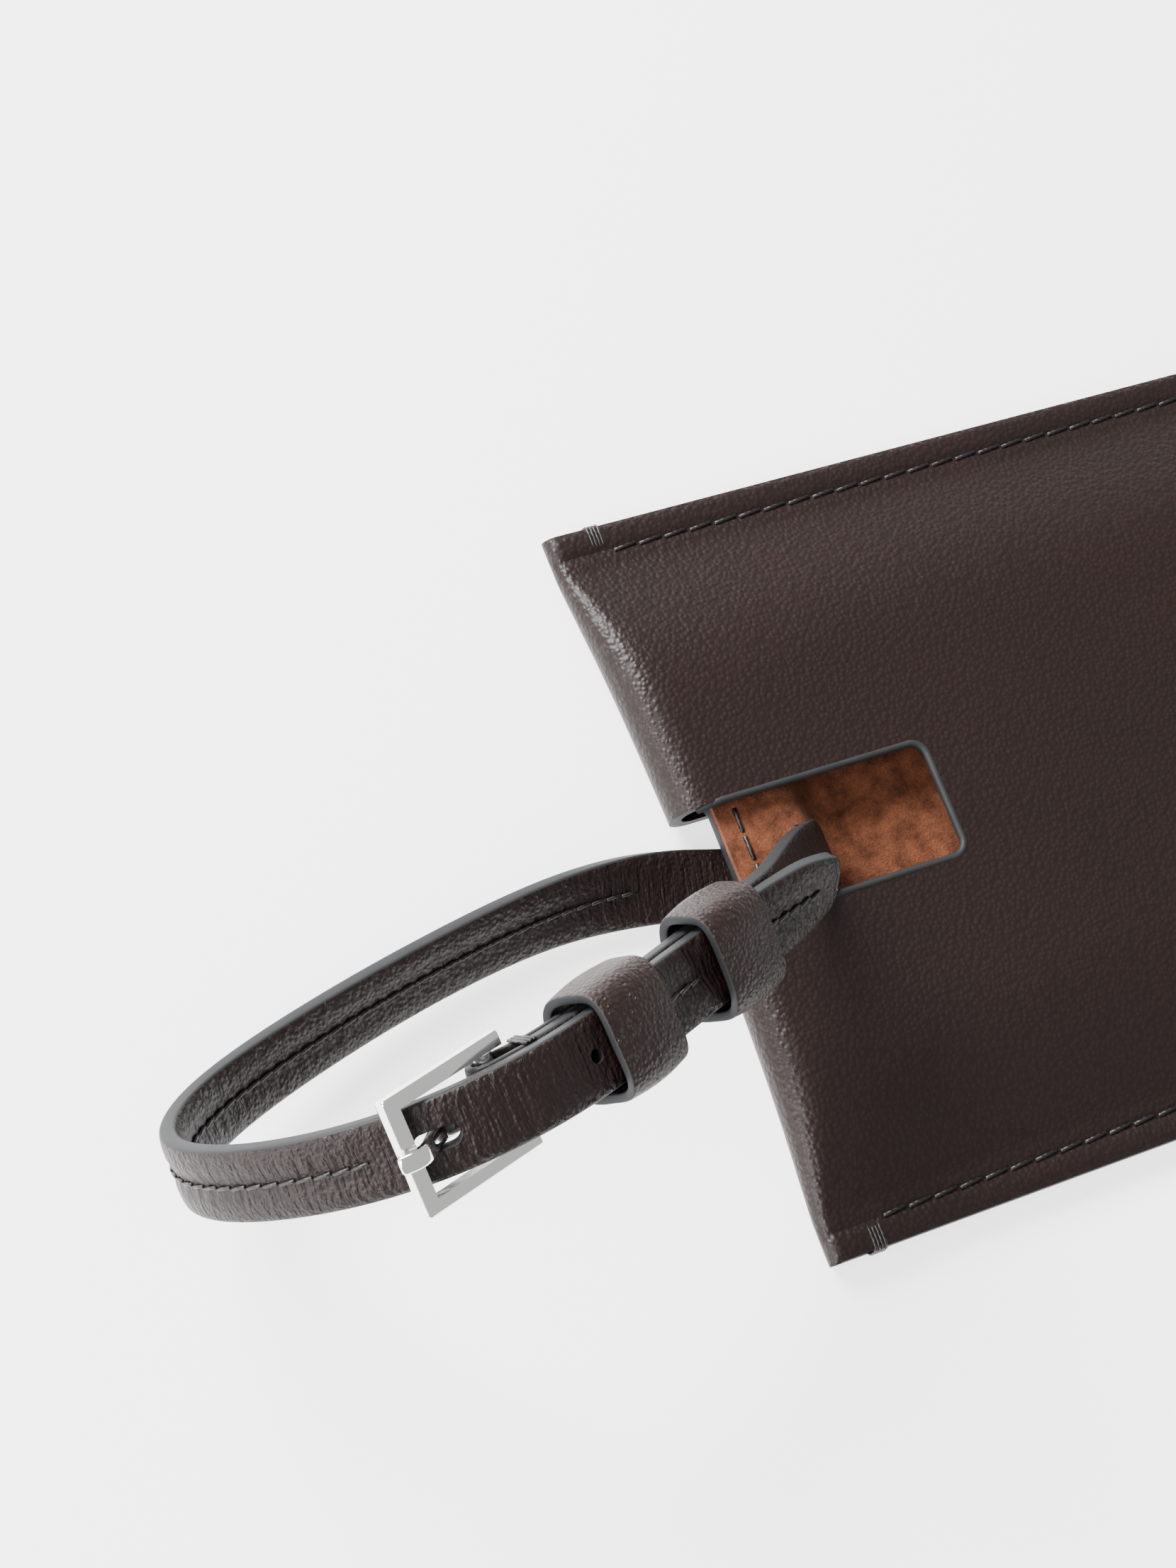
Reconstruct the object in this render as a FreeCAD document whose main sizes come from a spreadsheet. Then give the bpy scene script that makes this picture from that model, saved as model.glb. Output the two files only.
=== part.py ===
"""Leather luggage tag with a buckled strap, lying on its back.  Millimetres, +Z up.

X runs along the tag from the folded short end, Y along that end, Z out of the front panel.  All
is drawn from the corner at the fold, and moved at the end so that the middle of the back face is
the origin.
The tag is one folded piece of leather, stitched along its two long edges and open at the far
end for the address card.  A two-ply strap enters through a notch at the fold, passes under a
bar of the back panel, comes up through a slot and closes on itself with a small buckle.
"""
import FreeCAD, Part
import Sketcher
import math
import os

V = FreeCAD.Vector
doc = FreeCAD.newDocument("luggage_tag")

# ------------------------------------------------------------------ driving dimensions

SIZES = [
    # the folded cover
    ("tag_length", 112.0), ("tag_width", 70.0), ("leather", 1.2), ("seam_land", 4.0),
    ("shoulder_run", 5.0), ("shoulder_height", 4.6), ("crown_run", 16.0), ("crown_height", 5.8),
    ("fold_wall", 2.0), ("fold_round", 1.1),
    # notch, window and the bar that the strap passes under
    ("window_length", 25.6), ("window_low", 30.0), ("window_high", 41.2), ("window_corner", 1.5),
    ("bar_start", 4.5), ("bar_end", 11.2), ("bar_underside", 2.5), ("bar_ramp", 3.0),
    ("slot_end", 15.2), ("strap_seat", 4.0),
    # suede lining and address card
    ("lining", 0.6), ("lining_margin", 7.0), ("lining_end_gap", 4.0),
    ("card_length", 78.0), ("card_width", 50.0), ("card_thickness", 0.35), ("card_lift", 0.2),
    ("card_end_gap", 3.0),
    # stitching
    ("seam_inset", 2.6), ("seam_pitch", 2.6), ("stitch_length", 1.9), ("stitch_width", 0.5),
    ("stitch_height", 0.3), ("groove_width", 0.8), ("groove_depth", 0.3), ("seam_start", 6.0),
    ("bartack_place", 4.6), ("bartack_width", 0.8), ("bartack_thread", 0.25),
    ("slot_stitch_inset", 1.9), ("slot_stitch_pitch", 2.7),
    # strap
    ("strap_width", 6.4), ("ply", 0.85), ("glue_line", 0.04), ("ply_gap", 0.15),
    ("strap_tip_width", 5.0), ("strap_tip_taper", 5.0), ("slot_bend", 1.45),
    ("strap_stitch_pitch", 1.5),
    ("strap_stitch_length", 1.1), ("strap_stitch_width", 0.4), ("strap_stitch_height", 0.12),
    # places along the strap, counted from the slot side of the bar
    ("front_bar_place", 94.2), ("hole_place", 96.5), ("pivot_place", 102.6),
    ("spare_hole_place", 110.2), ("fixed_keeper_place", 114.7), ("loose_keeper_place", 128.8),
    ("stitch_end_place", 91.2), ("tip_stitch_place", 119.9),
    # buckle
    ("pivot_radius", 0.8), ("pivot_gap", 0.08), ("buckle_inner_width", 7.4),
    ("buckle_arm", 1.2), ("buckle_thickness", 1.3), ("arm_overrun", 1.7), ("buckle_edge", 0.35),
    ("bar_rest_gap", 0.5), ("tongue_width", 1.2), ("tongue_thickness", 0.9),
    ("tongue_eye_wall", 0.6), ("tongue_fit", 0.05), ("tongue_slot_width", 1.9),
    ("hole_length", 3.8), ("hole_width", 1.8), ("spare_hole_radius", 0.6),
    ("turnback_length", 12.0), ("chape_bartack_place", 106.4),
    # keepers
    ("keeper_width", 7.0), ("keeper_thickness", 0.8), ("keeper_side_gap", 0.7),
    ("keeper_top_gap", 0.6), ("keeper_round", 2.2),
]

sheet = doc.addObject("Spreadsheet::Sheet", "sheet")
for row, (alias, value) in enumerate(SIZES, start=1):
    sheet.set("A%d" % row, alias)
    sheet.set("B%d" % row, str(value))
    sheet.setAlias("B%d" % row, alias)
doc.recompute()


def size(alias):
    """The number that the sheet holds under an alias."""
    return float(sheet.get(alias))


def value_of(text):
    """The number that an expression on the sheet works out to."""
    return float(sheet.evalExpression(text.replace("sheet.", "")))


# ------------------------------------------------------------------ drawing helpers

def new_body(label):
    body = doc.addObject("PartDesign::Body", label)
    body.Label = label
    return body


def origin_plane(body, role):
    for feature in body.Origin.OriginFeatures:
        if feature.Role == role:
            return feature


def outline(body, name, plane, lift, corners):
    """A closed sketch of straight sides through corners, each a pair of expressions."""
    sketch = body.newObject("Sketcher::SketchObject", name)
    sketch.AttachmentSupport = [(origin_plane(body, plane), "")]
    sketch.MapMode = "FlatFace"
    sketch.setExpression("AttachmentOffset.Base.z", lift)
    points = [V(value_of(x), value_of(y), 0) for x, y in corners]
    count = len(points)
    for i in range(count):
        sketch.addGeometry(Part.LineSegment(points[i], points[(i + 1) % count]), False)
    for i in range(count):
        sketch.addConstraint(Sketcher.Constraint("Coincident", i, 2, (i + 1) % count, 1))
    for i, (x, y) in enumerate(corners):
        for kind, expression, number in (("DistanceX", x, points[i].x), ("DistanceY", y, points[i].y)):
            index = sketch.addConstraint(Sketcher.Constraint(kind, -1, 1, i, 1, number))
            sketch.setExpression("Constraints[%d]" % index, expression)
    return sketch


def extrude(body, kind, name, sketch, length, reverse=False):
    feature = body.newObject("PartDesign::" + kind, name)
    feature.Profile = sketch
    feature.setExpression("Length", length)
    feature.Reversed = reverse
    doc.recompute()
    return feature


def block(body, kind, name, corner, lengths):
    """An additive or subtractive box: its low corner and its three lengths."""
    box = body.newObject("PartDesign::" + kind, name)
    for axis, expression in zip("xyz", corner):
        box.setExpression("Placement.Base." + axis, expression)
    for side, expression in zip(("Length", "Width", "Height"), lengths):
        box.setExpression(side, expression)
    doc.recompute()
    return box


def round_edges(body, base, name, chosen, radius):
    """A fillet on the edges of base for which chosen(edge) is true."""
    names = ["Edge%d" % n for n, edge in enumerate(base.Shape.Edges, start=1) if chosen(edge)]
    fillet = body.newObject("PartDesign::Fillet", name)
    fillet.Base = (base, names)
    fillet.setExpression("Radius", radius)
    doc.recompute()
    return fillet


def along(edge, axis):
    """True for a straight edge that runs along axis (0, 1 or 2)."""
    ends = [vertex.Point for vertex in edge.Vertexes]
    if len(ends) != 2:
        return False
    step = ends[1] - ends[0]
    return all(abs(step[other]) < 1e-6 for other in range(3) if other != axis)


def plain(label, shape, placement=None):
    """A sub-part whose shape only its own code can make."""
    feature = doc.addObject("Part::Feature", label)
    feature.Label = label
    feature.Shape = shape
    feature.Placement = placement or FreeCAD.Placement()
    return feature


# ------------------------------------------------------------------ outer cover

LAND = "2 * sheet.leather"
LOW_RIM = "sheet.seam_land"
HIGH_RIM = "sheet.tag_width - sheet.seam_land"
SHOULDER = "sheet.shoulder_run"
CROWN = "sheet.crown_run"


def cover_section(name, x, inset):
    """The cover's outside, cut across: flat at both seams and crowned between them."""
    top = " - " + inset
    return outline(cover, name, "YZ_Plane", x, [
        ("0", inset), ("sheet.tag_width", inset), ("sheet.tag_width", LAND + top),
        (HIGH_RIM, LAND + top), (HIGH_RIM + " - " + SHOULDER, "sheet.shoulder_height" + top),
        (HIGH_RIM + " - " + CROWN, "sheet.crown_height" + top),
        (LOW_RIM + " + " + CROWN, "sheet.crown_height" + top),
        (LOW_RIM + " + " + SHOULDER, "sheet.shoulder_height" + top),
        (LOW_RIM, LAND + top), ("0", LAND + top)])


cover = new_body("outer_cover")
section = cover_section("cover_section", "sheet.fold_round", "0")
extrude(cover, "Pad", "cover_solid", section, "sheet.tag_length - sheet.fold_round")
FOLD_TURNS = [0, 30, 60]
nose = [cover_section("fold_section_%d" % turn, "sheet.fold_round * (1 - cos(%d))" % turn,
                      "sheet.fold_round * (1 - sin(%d))" % turn) for turn in FOLD_TURNS]
fold = cover.newObject("PartDesign::AdditiveLoft", "fold")
fold.Profile = nose[0]
fold.Sections = nose[1:] + [section]
fold.Ruled = True
doc.recompute()

INSIDE_LOW = "sheet.seam_land + sheet.leather / 2"
INSIDE_HIGH = "sheet.tag_width - sheet.seam_land - sheet.leather / 2"
hollow = outline(
    cover, "pocket_section", "YZ_Plane", "sheet.fold_wall",
    [(INSIDE_LOW, "sheet.leather"), (INSIDE_HIGH, "sheet.leather"),
     (INSIDE_HIGH + " - " + SHOULDER, "sheet.shoulder_height - sheet.leather"),
     (INSIDE_HIGH + " - " + CROWN, "sheet.crown_height - sheet.leather"),
     (INSIDE_LOW + " + " + CROWN, "sheet.crown_height - sheet.leather"),
     (INSIDE_LOW + " + " + SHOULDER, "sheet.shoulder_height - sheet.leather")])
extrude(cover, "Pocket", "card_pocket", hollow, "sheet.tag_length", reverse=True)

NOTCH_WIDTH = "sheet.window_high - sheet.window_low"
window = block(
    cover, "SubtractiveBox", "window",
    ("-5", "sheet.window_low", "sheet.leather + 0.4"),
    ("sheet.window_length + 5", NOTCH_WIDTH, "sheet.crown_height"))
round_edges(cover, window, "window_corners",
            lambda edge: along(edge, 2) and edge.Vertexes[0].Point.x > size("window_length") - 0.01
            and size("window_low") - 0.01 < edge.Vertexes[0].Point.y < size("window_high") + 0.01,
            "sheet.window_corner")
block(cover, "SubtractiveBox", "notch_and_slot",
      ("-5", "sheet.window_low", "-1"),
      ("sheet.slot_end + 5", NOTCH_WIDTH, "sheet.leather + 2"))
BAR_TOP = "sheet.bar_underside + sheet.leather"
bar_section = outline(
    cover, "bar_section", "YZ_Plane", "sheet.bar_start",
    [("sheet.window_low - sheet.bar_ramp", "sheet.leather / 2"),
     ("sheet.window_low", "sheet.leather / 2"), ("sheet.window_low", "sheet.bar_underside"),
     ("sheet.window_high", "sheet.bar_underside"), ("sheet.window_high", "sheet.leather / 2"),
     ("sheet.window_high + sheet.bar_ramp", "sheet.leather / 2"),
     ("sheet.window_high + sheet.bar_ramp", "sheet.leather"), ("sheet.window_high", BAR_TOP),
     ("sheet.window_low", BAR_TOP), ("sheet.window_low - sheet.bar_ramp", "sheet.leather")])
extrude(cover, "Pad", "bar", bar_section, "sheet.bar_end - sheet.bar_start")

for side, middle in (("bottom", "sheet.seam_inset"), ("top", "sheet.tag_width - sheet.seam_inset")):
    groove_low = middle + " - sheet.groove_width / 2"
    block(cover, "SubtractiveBox", side + "_back_groove", ("2", groove_low, "-1"),
          ("sheet.tag_length - 2", "sheet.groove_width", "1 + sheet.groove_depth"))
    block(cover, "SubtractiveBox", side + "_front_groove",
          ("2", groove_low, LAND + " - sheet.groove_depth"),
          ("sheet.tag_length - 2", "sheet.groove_width", "1"))
    edge_low = "-1" if side == "bottom" else "sheet.tag_width - sheet.seam_inset"
    block(cover, "SubtractiveBox", side + "_bartack_groove",
          ("sheet.bartack_place - sheet.bartack_width / 2 - 0.1", edge_low, "-1"),
          ("sheet.bartack_width + 0.2", "sheet.seam_inset + 1", "1 + sheet.groove_depth"))

# ------------------------------------------------------------------ suede lining

lining = new_body("back_lining")
MARGIN = "sheet.lining_margin"
LINING_END = "sheet.tag_length - sheet.lining_end_gap"
block(lining, "AdditiveBox", "lining_sheet", ("sheet.slot_end", MARGIN, "sheet.leather"),
      (LINING_END + " - sheet.slot_end", "sheet.tag_width - 2 * " + MARGIN, "sheet.lining"))
for side, low, width in (
        ("low", MARGIN, "sheet.window_low - sheet.bar_ramp - " + MARGIN),
        ("high", "sheet.window_high + sheet.bar_ramp",
         "sheet.tag_width - %s - sheet.window_high - sheet.bar_ramp" % MARGIN)):
    block(lining, "AdditiveBox", "lining_%s_side" % side, ("sheet.bar_start", low, "sheet.leather"),
          ("sheet.slot_end - sheet.bar_start", width, "sheet.lining"))
    ramp_low = "sheet.window_low - sheet.bar_ramp" if side == "low" else "sheet.window_high"
    block(lining, "AdditiveBox", "lining_%s_flank" % side,
          ("sheet.bar_end", ramp_low, "sheet.leather"),
          ("sheet.slot_end - sheet.bar_end", "sheet.bar_ramp", "sheet.lining"))
arch = outline(
    lining, "lining_arch", "YZ_Plane", "sheet.bar_start",
    [("sheet.window_low - sheet.bar_ramp", "sheet.leather"), ("sheet.window_low", BAR_TOP),
     ("sheet.window_high", BAR_TOP), ("sheet.window_high + sheet.bar_ramp", "sheet.leather"),
     ("sheet.window_high + sheet.bar_ramp", "sheet.leather + sheet.lining"),
     ("sheet.window_high", BAR_TOP + " + sheet.lining"),
     ("sheet.window_low", BAR_TOP + " + sheet.lining"),
     ("sheet.window_low - sheet.bar_ramp", "sheet.leather + sheet.lining")])
extrude(lining, "Pad", "lining_over_bar", arch, "sheet.bar_end - sheet.bar_start")

# ------------------------------------------------------------------ address card

card = new_body("address_card")
block(card, "AdditiveBox", "card_sheet",
      ("sheet.tag_length - sheet.card_end_gap - sheet.card_length",
       "(sheet.tag_width - sheet.card_width) / 2",
       "sheet.leather + sheet.lining + sheet.card_lift"),
      ("sheet.card_length", "sheet.card_width", "sheet.card_thickness"))

# ------------------------------------------------------------------ seams of the cover


def seam(middle):
    """One long seam: a row of stitches on the front and one on the back."""
    stitch = V(size("stitch_length"), size("stitch_width"), size("stitch_height"))
    low_y = middle - stitch.y / 2
    front_z = 2 * size("leather") - size("groove_depth")
    back_z = size("groove_depth") - stitch.z
    pieces = []
    x = size("seam_start")
    while x + stitch.x < size("tag_length") - 1.0:
        for z in (front_z, back_z):
            pieces.append(Part.makeBox(stitch.x, stitch.y, stitch.z, V(x, low_y, z)))
        x += size("seam_pitch")
    return Part.makeCompound(pieces)


plain("bottom_seam_thread", seam(size("seam_inset")))
plain("top_seam_thread", seam(size("tag_width") - size("seam_inset")))


def corner_bartack(edge_y, inward):
    """Thread wrapped over the cut edge at the fold end of a seam."""
    thread = size("bartack_thread")
    wide = size("bartack_width")
    reach = size("seam_inset") - 0.5
    x = size("bartack_place") - wide / 2
    low = min(edge_y - inward * thread, edge_y + inward * reach)
    top = 2 * size("leather")
    bottom = size("groove_depth") - thread
    front = Part.makeBox(wide, reach + thread, thread, V(x, low, top))
    back = Part.makeBox(wide, reach + thread, thread, V(x, low, bottom))
    outside = min(edge_y, edge_y - inward * thread)
    edge = Part.makeBox(wide, thread, top + thread - bottom, V(x, outside, bottom))
    return front.fuse([back, edge]).removeSplitter()


plain("corner_bartacks", Part.makeCompound([
    corner_bartack(0.0, 1), corner_bartack(size("tag_width"), -1)]))


def slot_stitches():
    """The short row of stitches that holds the lining to the bar."""
    top = size("bar_underside") + size("leather") + size("lining")
    x = size("bar_start") + size("slot_stitch_inset") - size("stitch_width") / 2
    y = size("window_low") + 0.2
    pieces = []
    while y + size("stitch_length") < size("window_high"):
        pieces.append(Part.makeBox(size("stitch_width"), size("stitch_length"), 0.15, V(x, y, top)))
        y += size("slot_stitch_pitch")
    return Part.makeCompound(pieces)


plain("slot_stitch_thread", slot_stitches())

# ------------------------------------------------------------------ the strap's route

SLOT_Y = size("window_low") + size("strap_seat")
CENTRE_HEIGHT = size("ply") + 0.1

# control points of the loop, from the bar round to the tip, and the direction of the strap's
# upper edge at each of them
LOOP = [
    ((size("bar_end"), SLOT_Y, CENTRE_HEIGHT), (0, 1, 0)),
    ((8.5, SLOT_Y, CENTRE_HEIGHT), (0, 1, 0)),
    ((4.0, SLOT_Y + 0.7, CENTRE_HEIGHT), (0, 1, 0)),
    ((-1.5, 36.2, 2.1), (0.1, 0.95, 0.3)),
    ((-12.0, 37.0, 3.3), (0.0, 0.7, 0.7)),
    ((-25.0, 35.0, 3.5), (-0.1, 0.65, 0.75)),
    ((-36.0, 32.5, 4.0), (-0.1, 0.7, 0.7)),
    ((-49.0, 28.5, 5.5), (-0.1, 0.8, 0.6)),
    ((-55.0, 22.5, 14.5), (-0.15, 0.85, 0.45)),
    ((-48.0, 18.0, 25.5), (-0.2, 0.85, 0.5)),
    ((-38.5, 16.5, 31.5), (-0.15, 0.9, 0.4)),
    ((-26.5, 18.0, 33.0), (-0.15, 0.9, 0.35)),
    ((-15.5, 22.0, 28.5), (-0.2, 0.9, 0.35)),
    ((-5.0, 25.5, 24.0), (-0.1, 0.9, 0.45)),
    ((1.8, 27.8, 21.8), (0.0, 0.75, 0.65)),
    ((5.0, 28.6, 20.4), (0.05, 0.6, 0.8)),
]


def smooth(points):
    """A clamped cubic B-spline with evenly spaced knots, steered by points."""
    spans = len(points) - 3
    curve = Part.BSplineCurve()
    curve.buildFromPolesMultsKnots(
        [V(*point) for point in points], [4] + [1] * (spans - 1) + [4],
        [i / spans for i in range(spans + 1)], False, 3)
    return curve


class Station:
    """A place on the strap: its centre, the way it runs, its width and its outer face."""

    def __init__(self, centre, run, width):
        self.centre = centre
        self.run = V(run).normalize()
        self.width = (V(width) - self.run * self.run.dot(V(width))).normalize()
        self.out = self.run.cross(self.width)

    def at(self, across, outward, forward=0.0):
        return self.centre + self.width * across + self.out * outward + self.run * forward

    def shifted(self, outward):
        return Station(self.at(0, outward), self.run, self.width)

    def placement(self, across=0.0, outward=0.0, forward=0.0):
        p = self.at(across, outward, forward)
        t, w, n = self.run, self.width, self.out
        return FreeCAD.Placement(FreeCAD.Matrix(
            t.x, w.x, n.x, p.x, t.y, w.y, n.y, p.y, t.z, w.z, n.z, p.z, 0, 0, 0, 1))


loop_line = smooth([point for point, width in LOOP])
loop_width = smooth([width for point, width in LOOP])
LOOP_LENGTH = loop_line.length()


def on_loop(distance):
    """The strap at a distance from the slot side of the bar."""
    u = loop_line.parameterAtDistance(min(distance, LOOP_LENGTH), 0.0)
    return Station(loop_line.value(u), loop_line.tangent(u)[0], loop_width.value(u))


STRAP = 2 * size("ply")
UNDER = -(STRAP + size("ply_gap"))       # from the tip layer's middle to the buckle layer's
PIVOT = size("pivot_place")
LEAVE = size("loose_keeper_place") + size("keeper_width") / 2 + 1.5

# the buckle end lies under the tip end as far as the loose keeper, then dives into the slot
under_tip = [on_loop(PIVOT + (LEAVE - PIVOT) * i / 6).shifted(UNDER) for i in range(7)]
slot_x = size("bar_end") + size("slot_bend")
bend_z = CENTRE_HEIGHT + size("slot_bend")
DIVE = [
    ((-0.2, 28.4, 18.6), (0.0, 0.85, 0.5)),
    ((4.0, 30.6, 13.6), (0.0, 0.9, 0.4)),
    ((8.0, 32.6, 9.4), (0.0, 0.95, 0.25)),
    ((11.0, 33.6, 6.6), (0.0, 1.0, 0.1)),
    ((slot_x - 0.15, SLOT_Y, 5.2), (0, 1, 0)),
    ((slot_x, SLOT_Y, bend_z + 1.4), (0, 1, 0)),
    ((slot_x, SLOT_Y, bend_z), (0, 1, 0)),
]
dive_line = smooth([tuple(s.centre) for s in under_tip] + [point for point, width in DIVE])
dive_width = smooth([tuple(s.width) for s in under_tip] + [width for point, width in DIVE])


def on_dive(u):
    return Station(dive_line.value(u), dive_line.tangent(u)[0], dive_width.value(u))


def round_slot(turn):
    """The quarter bend under the bar: turn goes from 0 to 90 degrees."""
    angle = math.radians(turn)
    radial = V(math.cos(angle), 0, -math.sin(angle))
    centre = V(size("bar_end"), SLOT_Y, bend_z)
    run = V(-math.sin(angle), 0, -math.cos(angle))
    return Station(centre + radial * size("slot_bend"), run, V(0, 1, 0))


DIVE_STEPS = 60
LOOP_STEPS = 100
BEND_STEPS = 8
buckle_side = [on_dive(i / DIVE_STEPS) for i in range(DIVE_STEPS + 1)]
bend = [round_slot(90.0 * i / BEND_STEPS) for i in range(1, BEND_STEPS)]
loop_side = [on_loop(LOOP_LENGTH * i / LOOP_STEPS) for i in range(LOOP_STEPS + 1)]
whole_strap = buckle_side + bend + loop_side


def band(stations, inner, outer, half_widths):
    """A strip of even thickness that follows stations, between two depths."""
    corners = [(1, outer), (1, inner), (-1, inner), (-1, outer)]
    travelled = [0.0]
    for before, after in zip(stations, stations[1:]):
        travelled.append(travelled[-1] + (after.centre - before.centre).Length)
    rails = []
    for side, depth in corners:
        points = [s.at(side * half, depth) for s, half in zip(stations, half_widths)]
        curve = Part.BSplineCurve()
        curve.interpolate(Points=points, Parameters=travelled)
        rails.append(curve.toShape())
    faces = [Part.makeRuledSurface(rails[i], rails[(i + 1) % 4]) for i in range(4)]
    for s, half in ((stations[0], half_widths[0]), (stations[-1], half_widths[-1])):
        ring = [s.at(side * half, depth) for side, depth in corners]
        faces.append(Part.Face(Part.makePolygon(ring + ring[:1])))
    shell = Part.makeShell(faces)
    shell.sewShape()
    solid = Part.makeSolid(shell)
    if solid.Volume < 0:
        solid.reverse()
    return solid


def half_widths(stations):
    """Half the strap's width at each station; the last few millimetres taper to the tip."""
    tip = stations[-1].centre
    full = size("strap_width") / 2
    narrow = size("strap_tip_width") / 2
    taper = size("strap_tip_taper")
    result = []
    for station in stations:
        left = (station.centre - tip).Length
        share = min(left / taper, 1.0)
        share = share * (2 - share)
        result.append(narrow + (full - narrow) * share)
    return result


# the turn-back: the outer ply alone goes round the pivot and lies under the buckle end
pivot_station = on_loop(PIVOT)
PIVOT_DEPTH = UNDER - size("pivot_gap") - size("pivot_radius")
wrap_radius = size("pivot_radius") + size("pivot_gap") + size("ply") / 2
FLAT_DEPTH = UNDER - 1.5 * size("ply") - 0.25


def wrapped(turn):
    """The outer ply round the pivot: turn 0 is below it, 180 above it."""
    angle = math.radians(turn)
    radial = pivot_station.out * -math.cos(angle) - pivot_station.run * math.sin(angle)
    run = pivot_station.width.cross(radial)
    centre = pivot_station.at(0, PIVOT_DEPTH) + radial * wrap_radius
    return Station(centre, run, pivot_station.width)


def turned_back(distance):
    """The outer ply under the buckle end, at a distance past the pivot."""
    rise = min(distance / 5.0, 1.0)
    rise = rise * rise * (3 - 2 * rise)
    low = PIVOT_DEPTH - wrap_radius
    station = on_loop(PIVOT + distance)
    centre = station.at(0, low + (FLAT_DEPTH - low) * rise)
    return Station(centre, station.run * -1, station.width)


BACK_STEPS = 8
turn_back = [turned_back(size("turnback_length") * (1 - i / BACK_STEPS)) for i in range(BACK_STEPS)]
turn_back += [wrapped(180.0 * i / 10) for i in range(10)]
outer_line = turn_back + [s.shifted(size("ply") / 2) for s in whole_strap]
outer_ply = band(outer_line, -size("ply") / 2, size("ply") / 2, half_widths(outer_line))
inner_start = 4
inner_line = whole_strap[inner_start:]
inner_ply = band(inner_line, -size("ply"), -size("glue_line"), half_widths(inner_line))


def strap_cutter(station, length, width, low, high):
    """A round-ended slot through the strap, its length along the strap."""
    radius = width / 2
    straight = max(length - width, 0.0)
    tall = high - low
    cutter = Part.makeCylinder(radius, tall, V(straight / 2, 0, low))
    if straight:
        cutter = cutter.fuse([
            Part.makeCylinder(radius, tall, V(-straight / 2, 0, low)),
            Part.makeBox(straight, width, tall, V(-straight / 2, -radius, low))])
    cutter.Placement = station.placement()
    return cutter


HALF_CUT = size("ply") + 0.05
holes = [
    strap_cutter(on_loop(size("hole_place")), size("hole_length"), size("hole_width"), -HALF_CUT, HALF_CUT),
    strap_cutter(on_loop(size("spare_hole_place")), 0.0, 2 * size("spare_hole_radius"), -HALF_CUT, HALF_CUT)]
tongue_slot = Part.makeBox(
    4.4, size("tongue_slot_width"), 4.4,
    V(-2.4, -size("tongue_slot_width") / 2, PIVOT_DEPTH - 2.4))
tongue_slot.Placement = pivot_station.placement()
plain("strap_outer_ply", outer_ply.cut(holes + [tongue_slot]))
plain("strap_inner_ply", inner_ply.cut(holes))

# ------------------------------------------------------------------ strap stitching


def strap_stitch(distance, face):
    """One stitch on the strap's centre line; face is 1 outside and -1 inside."""
    length = size("strap_stitch_length")
    width = size("strap_stitch_width")
    height = size("strap_stitch_height")
    stitch = Part.makeBox(length, width, height, V(-length / 2, -width / 2, 0))
    if face < 0:
        stitch = Part.makeBox(length, width, height, V(-length / 2, -width / 2, -height))
    stitch.Placement = on_loop(distance).placement(outward=face * size("ply"))
    return stitch


def stitch_row(first, last, faces):
    pieces = []
    distance = first
    while distance <= last:
        pieces += [strap_stitch(distance, face) for face in faces]
        distance += size("strap_stitch_pitch")
    return Part.makeCompound(pieces)


plain("strap_thread", stitch_row(17.0, size("stitch_end_place"), (1, -1)))
plain("tip_thread", Part.makeCompound([
    stitch_row(size("tip_stitch_place"), size("tip_stitch_place") + 4.0, (1,)),
    stitch_row(size("loose_keeper_place") + size("keeper_width") / 2 + 1.5, LOOP_LENGTH - 2.5, (1,))]))


def chape_bartack():
    """Thread over both edges of the buckle end, holding the turn-back."""
    station = on_loop(size("chape_bartack_place"))
    tall = UNDER + size("ply") - (FLAT_DEPTH - size("ply") / 2)
    thread = 0.25
    pieces = []
    for side in (-1, 1):
        across = side * (size("strap_width") / 2 + thread / 2)
        piece = Part.makeBox(0.8, thread, tall, V(-0.4, -thread / 2, -tall))
        piece.Placement = station.placement(across=across, outward=UNDER + size("ply"))
        pieces.append(piece)
    return Part.makeCompound(pieces)


plain("chape_bartack_thread", chape_bartack())

# ------------------------------------------------------------------ keepers

KEEPER_ROOM = "2 * sheet.ply + sheet.ply_gap"


def keeper(label, place, layers_below):
    """A loop of leather round the strap: layers_below is what lies under the tip end."""
    body = new_body(label)
    inner_width = "(sheet.strap_width + 2 * sheet.keeper_side_gap)"
    inner_height = "(2 * sheet.ply + %s + 2 * sheet.keeper_top_gap)" % layers_below
    low = "-(sheet.ply + %s + sheet.keeper_top_gap)" % layers_below
    wall = "sheet.keeper_thickness"
    outside = block(
        body, "AdditiveBox", label + "_outside",
        ("-sheet.keeper_width / 2", "-(%s / 2 + %s)" % (inner_width, wall), "%s - %s" % (low, wall)),
        ("sheet.keeper_width", "%s + 2 * %s" % (inner_width, wall), "%s + 2 * %s" % (inner_height, wall)))
    rounded = round_edges(
        body, outside, label + "_rounded", lambda edge: along(edge, 0), "sheet.keeper_round")
    inside = block(
        body, "SubtractiveBox", label + "_inside",
        ("-sheet.keeper_width / 2 - 1", "-%s / 2" % inner_width, low),
        ("sheet.keeper_width + 2", inner_width, inner_height))
    reach = value_of(inner_width) / 2 + 0.01
    top = value_of(low) + value_of(inner_height) + 0.01
    bottom = value_of(low) - 0.01

    def inner_edge(edge):
        if not along(edge, 0):
            return False
        point = edge.Vertexes[0].Point
        return abs(point.y) < reach and bottom < point.z < top

    round_edges(body, inside, label + "_inner_rounded", inner_edge,
                "sheet.keeper_round - sheet.keeper_thickness")
    body.Placement = on_loop(size(place)).placement()
    return body


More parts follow.
